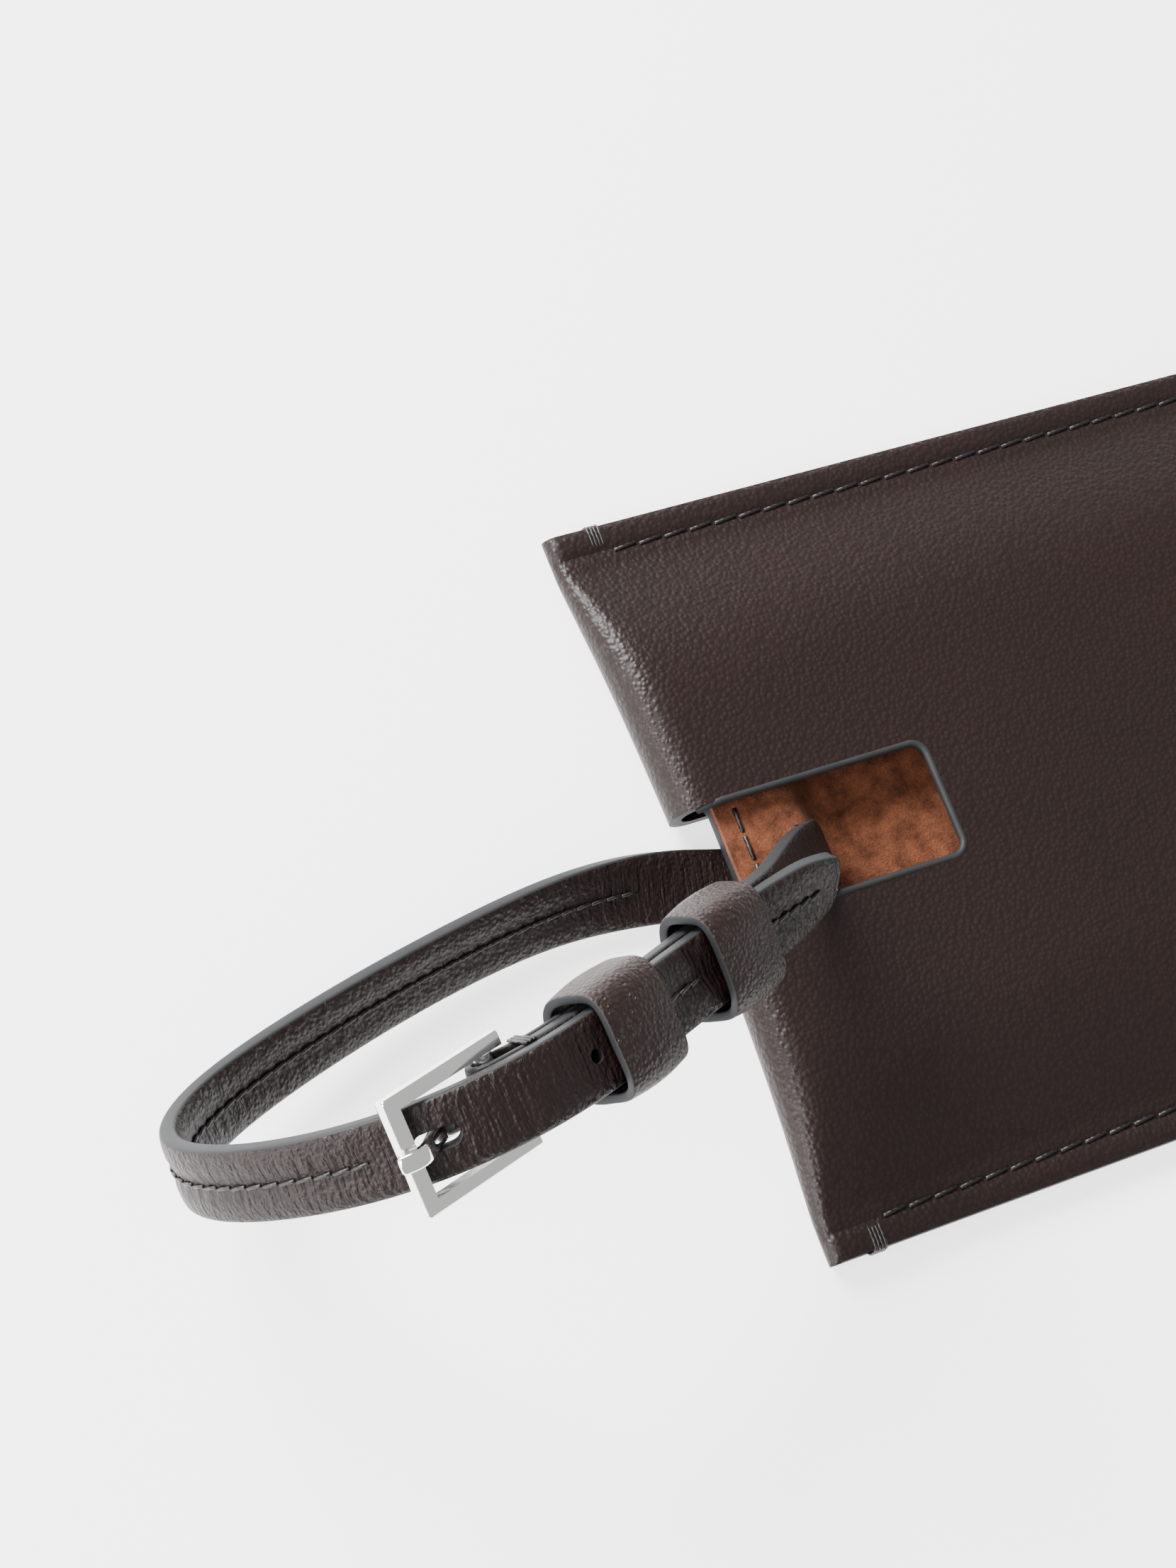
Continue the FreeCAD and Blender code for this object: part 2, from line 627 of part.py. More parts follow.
keeper("keeper_fixed", "fixed_keeper_place", "(%s + sheet.ply + 0.05)" % KEEPER_ROOM)
keeper("keeper_sliding", "loose_keeper_place", "(%s)" % KEEPER_ROOM)

# ------------------------------------------------------------------ buckle

REACH_DEPTH = size("ply") + size("bar_rest_gap") + size("buckle_thickness") / 2
pivot_point = pivot_station.at(0, PIVOT_DEPTH)
front_point = on_loop(size("front_bar_place")).at(0, REACH_DEPTH)
to_front = front_point - pivot_point
to_front = to_front - pivot_station.width * pivot_station.width.dot(to_front)
BUCKLE_REACH = to_front.Length
buckle_station = Station(pivot_point, to_front * -1, pivot_station.width)

frame = new_body("buckle_frame")
frame_sizes = doc.addObject("Spreadsheet::Sheet", "frame_sizes")
frame_sizes.set("A1", str(BUCKLE_REACH))
frame_sizes.setAlias("A1", "reach")
doc.recompute()
HALF_INNER = "sheet.buckle_inner_width / 2"
THICK = "sheet.buckle_thickness"
outer_block = block(
    frame, "AdditiveBox", "frame_block",
    ("-frame_sizes.reach - %s / 2" % THICK, "-(%s + sheet.buckle_arm)" % HALF_INNER, "-%s / 2" % THICK),
    ("frame_sizes.reach + %s / 2 + sheet.arm_overrun" % THICK,
     "2 * (%s + sheet.buckle_arm)" % HALF_INNER, THICK))
softened = round_edges(
    frame, outer_block, "frame_edges",
    lambda edge: all(v.Point.x < 0 for v in edge.Vertexes) or along(edge, 0), "sheet.buckle_edge")
block(frame, "SubtractiveBox", "frame_opening",
      ("-frame_sizes.reach + %s / 2" % THICK, "-" + HALF_INNER, "-" + THICK),
      ("frame_sizes.reach + 10", "2 * " + HALF_INNER, "2 * " + THICK))
bore = frame.newObject("PartDesign::SubtractiveCylinder", "pivot_seats")
bore.setExpression("Radius", "sheet.pivot_radius / 2")
bore.setExpression("Height", "2 * (%s + sheet.buckle_arm) + 2" % HALF_INNER)
bore.Placement = FreeCAD.Placement(V(0, size("buckle_inner_width") / 2 + size("buckle_arm") + 1, 0),
                                   FreeCAD.Rotation(V(1, 0, 0), 90))
doc.recompute()
frame.Placement = buckle_station.placement()

# the pivot bar is thinner where it is riveted through the arms
pivot = Part.makeCylinder(size("pivot_radius"), size("buckle_inner_width"),
                          V(0, -size("buckle_inner_width") / 2, 0), V(0, 1, 0))
rivet_length = size("buckle_inner_width") + 2 * size("buckle_arm")
pivot = pivot.fuse(Part.makeCylinder(size("pivot_radius") / 2, rivet_length,
                                     V(0, -rivet_length / 2, 0), V(0, 1, 0)))
plain("buckle_pivot_bar", pivot, buckle_station.placement())

# the tongue: an eye round the pivot, a shank up through the strap and a tip on the front bar
FRONT = size("front_bar_place")
HOLE = size("hole_place")
TOP_DEPTH = REACH_DEPTH + size("buckle_thickness") / 2 + 0.35 + size("tongue_thickness") / 2
TONGUE_LINE = [
    (PIVOT - 0.9, PIVOT_DEPTH + 0.8), (HOLE + 1.7, PIVOT_DEPTH + 0.8), (HOLE + 0.4, -1.25),
    (HOLE - 0.4, 0.3), (HOLE - 0.65, 1.8), (FRONT + 1.15, TOP_DEPTH - 0.35),
    (FRONT + 0.3, TOP_DEPTH), (FRONT - 0.5, TOP_DEPTH),
]


def tongue_bar():
    """The shank, bent in the plane of the strap's centre line."""
    half_thick = size("tongue_thickness") / 2
    centres = [on_loop(place).at(0, depth) for place, depth in TONGUE_LINE]
    middle = buckle_station.width
    flat = [c - middle * middle.dot(c - pivot_point) for c in centres]
    upper = []
    lower = []
    for i, point in enumerate(flat):
        before = flat[max(i - 1, 0)]
        after = flat[min(i + 1, len(flat) - 1)]
        normal = (after - before).normalize().cross(middle) * -1
        upper.append(point - normal * half_thick)
        lower.append(point + normal * half_thick)
    ring = upper + lower[::-1]
    face = Part.Face(Part.makePolygon(ring + ring[:1]))
    solid = face.extrude(middle * size("tongue_width"))
    solid.translate(middle * (-size("tongue_width") / 2))
    return solid


def tongue_eye():
    wide = size("tongue_width")
    bore_radius = size("pivot_radius") + size("tongue_fit")
    outer_radius = bore_radius + size("tongue_eye_wall")
    eye = Part.makeCylinder(outer_radius, wide, V(0, -wide / 2, 0), V(0, 1, 0))
    hole = Part.makeCylinder(bore_radius, wide + 2, V(0, -wide / 2 - 1, 0), V(0, 1, 0))
    eye.Placement = buckle_station.placement()
    hole.Placement = buckle_station.placement()
    return eye, hole


eye, eye_hole = tongue_eye()
plain("buckle_tongue", tongue_bar().fuse(eye).cut(eye_hole).removeSplitter())

# ------------------------------------------------------------------ write the parts

doc.recompute()
SUBPARTS = [
    "outer_cover", "back_lining", "address_card", "bottom_seam_thread", "top_seam_thread",
    "corner_bartacks", "slot_stitch_thread", "strap_outer_ply", "strap_inner_ply",
    "strap_thread", "tip_thread", "chape_bartack_thread", "keeper_fixed", "keeper_sliding",
    "buckle_frame", "buckle_pivot_bar", "buckle_tongue",
]
for item in doc.Objects:
    if "Invalid" in item.State or "Error" in item.State:
        raise RuntimeError("%s failed: %s" % (item.Label, item.State))
chosen = {item.Label: item for item in doc.Objects if item.Label in SUBPARTS}
for label in SUBPARTS:
    shape = chosen[label].Shape
    if shape.isNull() or not shape.isValid():
        raise RuntimeError("%s has no valid shape" % label)

# the origin goes to the middle of the cover's back face
to_origin = V(-size("tag_length") / 2, -size("tag_width") / 2, 0)
for label in SUBPARTS:
    chosen[label].Placement = FreeCAD.Placement(to_origin, FreeCAD.Rotation()).multiply(
        chosen[label].Placement)
doc.recompute()

os.makedirs("parts", exist_ok=True)
for label in SUBPARTS:
    chosen[label].Shape.exportStep("parts/%s.step" % label)
    box = chosen[label].Shape.BoundBox
    print("%-22s solids %3d  volume %9.2f  z %6.2f to %6.2f" % (
        label, len(chosen[label].Shape.Solids), chosen[label].Shape.Volume, box.ZMin, box.ZMax))
print("strap loop %.1f mm, buckle reach %.2f mm" % (LOOP_LENGTH, BUCKLE_REACH))
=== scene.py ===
import bmesh
import bpy
import math
import numpy as np
from mathutils import Matrix, Vector


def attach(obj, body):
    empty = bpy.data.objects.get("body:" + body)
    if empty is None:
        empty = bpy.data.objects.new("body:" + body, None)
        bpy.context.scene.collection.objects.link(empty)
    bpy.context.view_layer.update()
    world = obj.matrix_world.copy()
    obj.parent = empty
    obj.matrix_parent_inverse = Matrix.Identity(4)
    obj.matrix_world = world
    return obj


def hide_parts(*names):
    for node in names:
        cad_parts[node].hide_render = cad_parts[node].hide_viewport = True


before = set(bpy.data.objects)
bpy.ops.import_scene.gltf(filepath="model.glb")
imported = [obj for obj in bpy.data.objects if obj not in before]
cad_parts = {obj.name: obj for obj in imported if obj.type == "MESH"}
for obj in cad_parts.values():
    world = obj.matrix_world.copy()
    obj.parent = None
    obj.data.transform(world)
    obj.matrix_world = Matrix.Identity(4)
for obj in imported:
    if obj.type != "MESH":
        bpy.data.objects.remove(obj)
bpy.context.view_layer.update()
MM = 0.001

# The cover: one piece of very dark brown leather, folded at the strap end and sewn to itself along
# both long edges.  The front panel is crowned over the pocket, and the fold is a soft round bulge.
# Every cut edge is burnished and painted grey.

TAG_LENGTH = 112.0
TAG_WIDTH = 70.0
LEATHER = 1.2
CROWN_HEIGHT = 5.8
SEAM_INSET = 2.6
WINDOW_LENGTH = 25.6
WINDOW_LOW = 30.0
WINDOW_HIGH = 41.2
SLOT_END = 15.2


def placed(x, y, z):
    """A point given from the cover's corner at the fold, as the frame has it."""
    return Vector(((x - TAG_LENGTH / 2) * MM, (y - TAG_WIDTH / 2) * MM, z * MM))


def smoothstep(low, high, value):
    share = min(max((value - low) / (high - low), 0.0), 1.0)
    return share * share * (3.0 - 2.0 * share)


def deselect():
    if bpy.context.object and bpy.context.object.mode != "OBJECT":
        bpy.ops.object.mode_set(mode="OBJECT")
    bpy.ops.object.select_all(action="DESELECT")


def pick(piece):
    deselect()
    piece.select_set(True)
    bpy.context.view_layer.objects.active = piece


def formed_sheet(name, steps_along, steps_across, shape):
    """A flat grid whose every point goes to shape(along, across), both from 0 to 1."""
    deselect()
    bpy.ops.mesh.primitive_grid_add(
        x_subdivisions=steps_along, y_subdivisions=steps_across, size=1, calc_uvs=True)
    sheet = bpy.context.object
    sheet.name = name
    for vertex in sheet.data.vertices:
        vertex.co = shape(vertex.co.x + 0.5, vertex.co.y + 0.5)
    return sheet


def apply_modifier(piece, name, kind, **settings):
    pick(piece)
    modifier = piece.modifiers.new(name, kind)
    for setting, value in settings.items():
        setattr(modifier, setting, value)
    bpy.ops.object.modifier_apply(modifier=name)


def face_outwards(piece):
    pick(piece)
    bpy.ops.object.mode_set(mode="EDIT")
    bpy.ops.mesh.select_all(action="SELECT")
    bpy.ops.mesh.remove_doubles(threshold=0.000002)
    bpy.ops.mesh.normals_make_consistent(inside=False)
    bpy.ops.object.mode_set(mode="OBJECT")


def soften(piece, degrees=40):
    pick(piece)
    bpy.ops.object.shade_smooth_by_angle(angle=math.radians(degrees))


def new_node(tree, kind, **settings):
    node = tree.nodes.new(kind)
    for setting, value in settings.items():
        setattr(node, setting, value)
    return node


def new_group(name, inputs, outputs):
    """A shader node group with named sockets: its tree, its input node and its output node."""
    tree = bpy.data.node_groups.new(name, "ShaderNodeTree")
    for label, kind, value in inputs:
        socket = tree.interface.new_socket(label, in_out="INPUT", socket_type=kind)
        if value is not None:
            socket.default_value = value
    for label, kind in outputs:
        tree.interface.new_socket(label, in_out="OUTPUT", socket_type=kind)
    return tree, new_node(tree, "NodeGroupInput"), new_node(tree, "NodeGroupOutput")


def make_grain():
    """Pebbled grain: a height for the bump, and a tone that lightens the tops and some patches."""
    tree, given, made = new_group(
        "pebbled_grain",
        [("Vector", "NodeSocketVector", None), ("Cell Size", "NodeSocketFloat", 0.5)],
        [("Height", "NodeSocketFloat"), ("Tone", "NodeSocketFloat")])
    density = new_node(tree, "ShaderNodeMath", operation="DIVIDE")
    density.inputs[0].default_value = 1000.0
    tree.links.new(given.outputs["Cell Size"], density.inputs[1])
    cells = new_node(tree, "ShaderNodeTexVoronoi", feature="SMOOTH_F1")
    cells.inputs["Smoothness"].default_value = 0.35
    creases = new_node(tree, "ShaderNodeTexNoise")
    creases.inputs["Detail"].default_value = 5.0
    creases.inputs["Roughness"].default_value = 0.6
    patches = new_node(tree, "ShaderNodeTexNoise")
    patches.inputs["Scale"].default_value = 70.0
    patches.inputs["Detail"].default_value = 4.0
    for texture in (cells, creases, patches):
        tree.links.new(given.outputs["Vector"], texture.inputs["Vector"])
    for texture in (cells, creases):
        tree.links.new(density.outputs[0], texture.inputs["Scale"])
    dome = new_node(tree, "ShaderNodeMapRange")
    dome.inputs["From Max"].default_value = 0.75
    dome.inputs["To Min"].default_value = 1.0
    dome.inputs["To Max"].default_value = 0.0
    tree.links.new(cells.outputs["Distance"], dome.inputs["Value"])
    height = new_node(tree, "ShaderNodeMath", operation="MULTIPLY_ADD")
    height.inputs[1].default_value = 0.35
    tree.links.new(creases.outputs["Fac"], height.inputs[0])
    tree.links.new(dome.outputs["Result"], height.inputs[2])
    tone = new_node(tree, "ShaderNodeMath", operation="MULTIPLY")
    tree.links.new(patches.outputs["Fac"], tone.inputs[0])
    tree.links.new(height.outputs[0], tone.inputs[1])
    tree.links.new(height.outputs[0], made.inputs["Height"])
    tree.links.new(tone.outputs[0], made.inputs["Tone"])
    return tree


pebbled_grain = make_grain()


def grained_leather(name, low, high, cell_size, roughness, relief):
    """Leather between two colours, with pebbled grain of a size in millimetres."""
    material = bpy.data.materials.new(name)
    material.use_nodes = True
    tree = material.node_tree
    shader = tree.nodes["Principled BSDF"]
    place = new_node(tree, "ShaderNodeTexCoord")
    grain = new_node(tree, "ShaderNodeGroup", node_tree=pebbled_grain)
    grain.inputs["Cell Size"].default_value = cell_size
    tree.links.new(place.outputs["Object"], grain.inputs["Vector"])
    colour = new_node(tree, "ShaderNodeMix", data_type="RGBA")
    colour.inputs["A"].default_value = (*low, 1)
    colour.inputs["B"].default_value = (*high, 1)
    tree.links.new(grain.outputs["Tone"], colour.inputs["Factor"])
    tree.links.new(colour.outputs["Result"], shader.inputs["Base Color"])
    polish = new_node(tree, "ShaderNodeMapRange")
    polish.inputs["To Min"].default_value = roughness + 0.12
    polish.inputs["To Max"].default_value = roughness - 0.06
    tree.links.new(grain.outputs["Tone"], polish.inputs["Value"])
    tree.links.new(polish.outputs["Result"], shader.inputs["Roughness"])
    bump = new_node(tree, "ShaderNodeBump")
    bump.inputs["Strength"].default_value = 0.6
    bump.inputs["Distance"].default_value = relief * MM
    tree.links.new(grain.outputs["Height"], bump.inputs["Height"])
    tree.links.new(bump.outputs["Normal"], shader.inputs["Normal"])
    shader.inputs["Specular IOR Level"].default_value = 0.26
    return material


def edge_paint(name, colour):
    """Edge paint: satin, a little uneven along its length."""
    material = bpy.data.materials.new(name)
    material.use_nodes = True
    tree = material.node_tree
    shader = tree.nodes["Principled BSDF"]
    place = new_node(tree, "ShaderNodeTexCoord")
    uneven = new_node(tree, "ShaderNodeTexNoise")
    uneven.inputs["Scale"].default_value = 600.0
    uneven.inputs["Detail"].default_value = 3.0
    tree.links.new(place.outputs["Object"], uneven.inputs["Vector"])
    mixed = new_node(tree, "ShaderNodeMix", data_type="RGBA")
    mixed.inputs["A"].default_value = (*[0.7 * part for part in colour], 1)
    mixed.inputs["B"].default_value = (*[1.25 * part for part in colour], 1)
    tree.links.new(uneven.outputs["Fac"], mixed.inputs["Factor"])
    tree.links.new(mixed.outputs["Result"], shader.inputs["Base Color"])
    bump = new_node(tree, "ShaderNodeBump")
    bump.inputs["Strength"].default_value = 0.3
    bump.inputs["Distance"].default_value = 0.05 * MM
    tree.links.new(uneven.outputs["Fac"], bump.inputs["Height"])
    tree.links.new(bump.outputs["Normal"], shader.inputs["Normal"])
    shader.inputs["Roughness"].default_value = 0.55
    shader.inputs["Specular IOR Level"].default_value = 0.22
    return material


cover_leather = grained_leather(
    "cover_leather", (0.0075, 0.0036, 0.0031), (0.0190, 0.0092, 0.0080), 0.46, 0.34, 0.11)
cover_edge_paint = edge_paint("cover_edge_paint", (0.019, 0.020, 0.0215))


def panel_height(y):
    """How high the front panel's outside stands, from the sewn edges to the crown."""
    inward = min(y, TAG_WIDTH - y)
    rise = 1.0 - (1.0 - smoothstep(-6.0, 17.0, inward - 4.0)) ** 1.6
    start = 1.0 - (1.0 - smoothstep(-6.0, 17.0, 0.0)) ** 1.6
    share = max(rise - start, 0.0) / (1.0 - start)
    return 2 * LEATHER + (CROWN_HEIGHT - 2 * LEATHER) * share


def seam_dip(y):
    """How far the thread pulls the leather down along a seam."""
    inward = min(y, TAG_WIDTH - y)
    pulled = 0.28 * math.exp(-((inward - SEAM_INSET) / 0.45) ** 2)
    rounded = 0.3 * max(0.0, 1.0 - inward / 0.7) ** 2
    return pulled + rounded


BACK_SHARE = 0.42
FOLD_SHARE = 0.08


def cover_shape(along, across):
    """The outside of the folded cover: the back panel, then the fold, then the front panel."""
    y = TAG_WIDTH * across
    height = panel_height(y)
    nose = 1.1 + 0.55 * (height - 2 * LEATHER)
    bow = 0.9 * math.sin(math.pi * across) ** 2
    if along < BACK_SHARE:
        x = TAG_LENGTH + (nose + bow - TAG_LENGTH) * along / BACK_SHARE
        return placed(x, y, seam_dip(y) * 0.6)
    if along < BACK_SHARE + FOLD_SHARE:
        turn = math.pi * (along - BACK_SHARE) / FOLD_SHARE - math.pi / 2
        x = bow + nose * (1.0 - math.cos(turn))
        low, high = seam_dip(y) * 0.6, height - seam_dip(y)
        return placed(x, y, low + (high - low) * (1.0 + math.sin(turn)) / 2)
    share = (along - BACK_SHARE - FOLD_SHARE) / (1.0 - BACK_SHARE - FOLD_SHARE)
    x = bow + nose + (TAG_LENGTH - bow - nose) * share
    ripple = 0.05 * math.sin(x / 9.0 + y / 7.0) * smoothstep(4.0, 14.0, min(y, TAG_WIDTH - y))
    return placed(x, y, height - seam_dip(y) + ripple)


def cutting_block(name, low, high, round_far_corners=0.0):
    """A block that opens a hole in leather and leaves its walls painted."""
    deselect()
    bpy.ops.mesh.primitive_cube_add(size=1)
    block = bpy.context.object
    block.name = name
    low, high = placed(*low), placed(*high)
    for vertex in block.data.vertices:
        for axis in range(3):
            vertex.co[axis] = high[axis] if vertex.co[axis] > 0 else low[axis]
    block.data.materials.append(cover_leather)
    block.data.materials.append(cover_edge_paint)
    for face in block.data.polygons:
        face.material_index = 1
    if round_far_corners:
        bpy.ops.object.mode_set(mode="EDIT")
        bpy.ops.mesh.select_mode(type="EDGE")
        bpy.ops.mesh.select_all(action="DESELECT")
        shape = bmesh.from_edit_mesh(block.data)
        for edge in shape.edges:
            upright = abs(edge.verts[0].co.z - edge.verts[1].co.z) > 1e-5
            edge.select_set(upright and edge.verts[0].co.x > high.x - 1e-6)
        bmesh.update_edit_mesh(block.data)
        bpy.ops.mesh.bevel(offset=round_far_corners * MM, segments=8, affect="EDGES")
        bpy.ops.object.mode_set(mode="OBJECT")
    return block


def cut_out(piece, block):
    apply_modifier(piece, "cut", "BOOLEAN", operation="DIFFERENCE", object=block,
                   solver="EXACT", material_mode="TRANSFER")
    bpy.data.objects.remove(block)


cover = formed_sheet("cover", 170, 140, cover_shape)
cover.data.materials.append(cover_leather)
cover.data.materials.append(cover_edge_paint)
face_outwards(cover)
probe = max(cover.data.polygons, key=lambda face: face.center.z)
if probe.normal.z < 0:
    cover.data.flip_normals()
apply_modifier(cover, "wall", "SOLIDIFY", thickness=LEATHER * MM * 0.98, offset=-1.0,
               use_rim=True, material_offset_rim=1)
cut_out(cover, cutting_block("window_block", (-5.0, WINDOW_LOW, 1.6),
                             (WINDOW_LENGTH, WINDOW_HIGH, 9.0), 1.5))
cut_out(cover, cutting_block("notch_block", (-5.0, WINDOW_LOW, -1.0), (SLOT_END, WINDOW_HIGH, 2.3)))
soften(cover, 35)
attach(cover, "tag")
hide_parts("outer_cover")

# The bar: the strip of the back panel between the notch and the slot, pushed up by the strap that
# passes under it.  It is the same leather, with painted edges.

BAR_START = 4.5
BAR_END = 11.2
BAR_UNDERSIDE = 2.5
BAR_RAMP = 3.0


def bar_rise(y):
    """How far the bar stands above the back panel."""
    inward = min(y - WINDOW_LOW, WINDOW_HIGH - y)
    return BAR_UNDERSIDE * smoothstep(-BAR_RAMP, 0.4, inward)


def bar_shape(along, across):
    y = WINDOW_LOW - BAR_RAMP - 0.5 + (WINDOW_HIGH - WINDOW_LOW + 2 * BAR_RAMP + 1.0) * across
    x = BAR_START + (BAR_END - BAR_START) * along
    return placed(x, y, LEATHER - 0.02 + bar_rise(y))


bar = formed_sheet("bar", 12, 50, bar_shape)
bar.data.materials.append(cover_leather)
bar.data.materials.append(cover_edge_paint)
apply_modifier(bar, "wall", "SOLIDIFY", thickness=(LEATHER - 0.05) * MM, offset=-1.0,
               use_rim=True, material_offset_rim=1)
apply_modifier(bar, "rounding", "BEVEL", width=0.15 * MM, segments=2, limit_method="ANGLE")
soften(bar)
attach(bar, "tag")
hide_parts("outer_cover")

# The lining: a sheet of reddish tan suede glued inside the back panel and over the bar, with a
# soft nap.  Its light and dark patches are painted sheen and painted shade in its colour, standing
# in for how the lying nap catches the light.  Its slot is cut close round the strap, so it is
# smaller than the cover's.

LINING = 0.6
LINING_MARGIN = 7.0
LINING_END = 108.0
LINING_SLOT_LENGTH = 2.8
LINING_SLOT_WIDTH = 7.35


def make_suede():
    material = bpy.data.materials.new("lining_suede")
    material.use_nodes = True
    tree = material.node_tree
    shader = tree.nodes["Principled BSDF"]
    place = new_node(tree, "ShaderNodeTexCoord")
    patches = new_node(tree, "ShaderNodeTexNoise")
    patches.inputs["Scale"].default_value = 420.0
    patches.inputs["Detail"].default_value = 6.0
    patches.inputs["Roughness"].default_value = 0.7
    nap = new_node(tree, "ShaderNodeTexNoise")
    nap.inputs["Scale"].default_value = 5200.0
    nap.inputs["Detail"].default_value = 3.0
    for texture in (patches, nap):
        tree.links.new(place.outputs["Object"], texture.inputs["Vector"])
    # The ramp's dark end is painted shade and its light end painted sheen of the nap, spread in patches by
    # the noise above.
    colour = new_node(tree, "ShaderNodeValToRGB")
    colour.color_ramp.elements[0].position = 0.3
    colour.color_ramp.elements[0].color = (0.030, 0.0085, 0.004, 1)
    colour.color_ramp.elements[1].position = 0.72
    colour.color_ramp.elements[1].color = (0.190, 0.064, 0.030, 1)
    tree.links.new(patches.outputs["Fac"], colour.inputs["Fac"])
    speckled = new_node(tree, "ShaderNodeMix", data_type="RGBA", blend_type="OVERLAY")
    speckled.inputs["Factor"].default_value = 0.45
    tree.links.new(colour.outputs["Color"], speckled.inputs["A"])
    tree.links.new(nap.outputs["Fac"], speckled.inputs["B"])
    tree.links.new(speckled.outputs["Result"], shader.inputs["Base Color"])
    bump = new_node(tree, "ShaderNodeBump")
    bump.inputs["Strength"].default_value = 0.8
    bump.inputs["Distance"].default_value = 0.12 * MM
    tree.links.new(nap.outputs["Fac"], bump.inputs["Height"])
    tree.links.new(bump.outputs["Normal"], shader.inputs["Normal"])
    shader.inputs["Roughness"].default_value = 0.95
    shader.inputs["Specular IOR Level"].default_value = 0.15
    shader.inputs["Sheen Weight"].default_value = 0.2
    shader.inputs["Sheen Roughness"].default_value = 0.5
    shader.inputs["Sheen Tint"].default_value = (0.75, 0.45, 0.3, 1)
    return material


lining_suede = make_suede()


def lining_shape(along, across):
    x = BAR_START + (LINING_END - BAR_START) * along ** 1.5
    y = LINING_MARGIN + (TAG_WIDTH - 2 * LINING_MARGIN) * across
    over_bar = 1.0 - smoothstep(BAR_END + 0.2, SLOT_END, x)
    return placed(x, y, LEATHER + LINING + bar_rise(y) * over_bar)


lining = formed_sheet("lining", 120, 150, lining_shape)
lining.data.materials.append(lining_suede)
apply_modifier(lining, "wall", "SOLIDIFY", thickness=LINING * MM * 0.97, offset=-1.0)
slot_block = cutting_block("slot_block", (BAR_END, WINDOW_LOW, -1.0),
                           (BAR_END + LINING_SLOT_LENGTH, WINDOW_LOW + LINING_SLOT_WIDTH, 9.0))
slot_block.data.materials.clear()
slot_block.data.materials.append(lining_suede)
cut_out(lining, slot_block)
soften(lining, 50)
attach(lining, "tag")
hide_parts("back_lining")

# The address card: a plain off-white card in the pocket, which slides in from the open end.


def make_card_stock():
    material = bpy.data.materials.new("card_stock")
    material.use_nodes = True
    tree = material.node_tree
    shader = tree.nodes["Principled BSDF"]
    place = new_node(tree, "ShaderNodeTexCoord")
    fibres = new_node(tree, "ShaderNodeTexNoise")
    fibres.inputs["Scale"].default_value = 900.0
    fibres.inputs["Detail"].default_value = 6.0
    tree.links.new(place.outputs["Object"], fibres.inputs["Vector"])
    colour = new_node(tree, "ShaderNodeMix", data_type="RGBA")
    colour.inputs["A"].default_value = (0.66, 0.63, 0.56, 1)
    colour.inputs["B"].default_value = (0.80, 0.78, 0.72, 1)
    tree.links.new(fibres.outputs["Fac"], colour.inputs["Factor"])
    tree.links.new(colour.outputs["Result"], shader.inputs["Base Color"])
    bump = new_node(tree, "ShaderNodeBump")
    bump.inputs["Strength"].default_value = 0.2
    bump.inputs["Distance"].default_value = 0.03 * MM
    tree.links.new(fibres.outputs["Fac"], bump.inputs["Height"])
    tree.links.new(bump.outputs["Normal"], shader.inputs["Normal"])
    shader.inputs["Roughness"].default_value = 0.8
    return material


address_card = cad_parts["address_card"]
address_card.data.materials.clear()
address_card.data.materials.append(make_card_stock())

# The seams: waxed dark brown thread, sewn through the cover along both long edges, with one row of
# stitches on the front and one on the back.  Each stitch is a short twisted length, thin at its ends.

STITCH_PITCH = 2.6
STITCH_LENGTH = 2.2


def make_thread():
    material = bpy.data.materials.new("sewing_thread")
    material.use_nodes = True
    tree = material.node_tree
    shader = tree.nodes["Principled BSDF"]
    place = new_node(tree, "ShaderNodeTexCoord")
    strands = new_node(tree, "ShaderNodeTexWave", wave_type="BANDS", bands_direction="DIAGONAL")
    strands.inputs["Scale"].default_value = 900.0
    strands.inputs["Distortion"].default_value = 1.5
    tree.links.new(place.outputs["Object"], strands.inputs["Vector"])
    colour = new_node(tree, "ShaderNodeMix", data_type="RGBA")
    colour.inputs["A"].default_value = (0.0015, 0.0009, 0.0008, 1)
    colour.inputs["B"].default_value = (0.0075, 0.0042, 0.0036, 1)
    tree.links.new(strands.outputs["Fac"], colour.inputs["Factor"])
    tree.links.new(colour.outputs["Result"], shader.inputs["Base Color"])
    bump = new_node(tree, "ShaderNodeBump")
    bump.inputs["Strength"].default_value = 0.5
    bump.inputs["Distance"].default_value = 0.05 * MM
    tree.links.new(strands.outputs["Fac"], bump.inputs["Height"])
    tree.links.new(bump.outputs["Normal"], shader.inputs["Normal"])
    shader.inputs["Roughness"].default_value = 0.45
    return material


sewing_thread = make_thread()


def one_stitch(name, length, thickness):
    """A stitch along X, tapered to its ends, in millimetres, centred on the origin."""
    deselect()
    bpy.ops.mesh.primitive_cylinder_add(vertices=8, radius=thickness / 2 * MM, depth=length * MM,
                                        rotation=(0, math.pi / 2, 0))
    bpy.ops.object.transform_apply(location=True, rotation=True, scale=True)
    stitch = bpy.context.object
    stitch.name = name
    bpy.ops.object.mode_set(mode="EDIT")
    bpy.ops.mesh.select_mode(type="FACE")
    for end in (-1, 1):
        bpy.ops.mesh.select_all(action="DESELECT")
        shape = bmesh.from_edit_mesh(stitch.data)
        for face in shape.faces:
            face.select_set(face.normal.x * end > 0.9)
        bmesh.update_edit_mesh(stitch.data)
        bpy.ops.mesh.inset(thickness=0.12 * thickness * MM)
        bpy.ops.transform.translate(value=(end * 0.12 * thickness * MM, 0, 0))
        bpy.ops.mesh.inset(thickness=0.16 * thickness * MM)
        bpy.ops.transform.translate(value=(end * 0.08 * thickness * MM, 0, 0))
    bpy.ops.object.mode_set(mode="OBJECT")
    stitch.data.materials.append(sewing_thread)
    for face in stitch.data.polygons:
        face.use_smooth = True
    return stitch


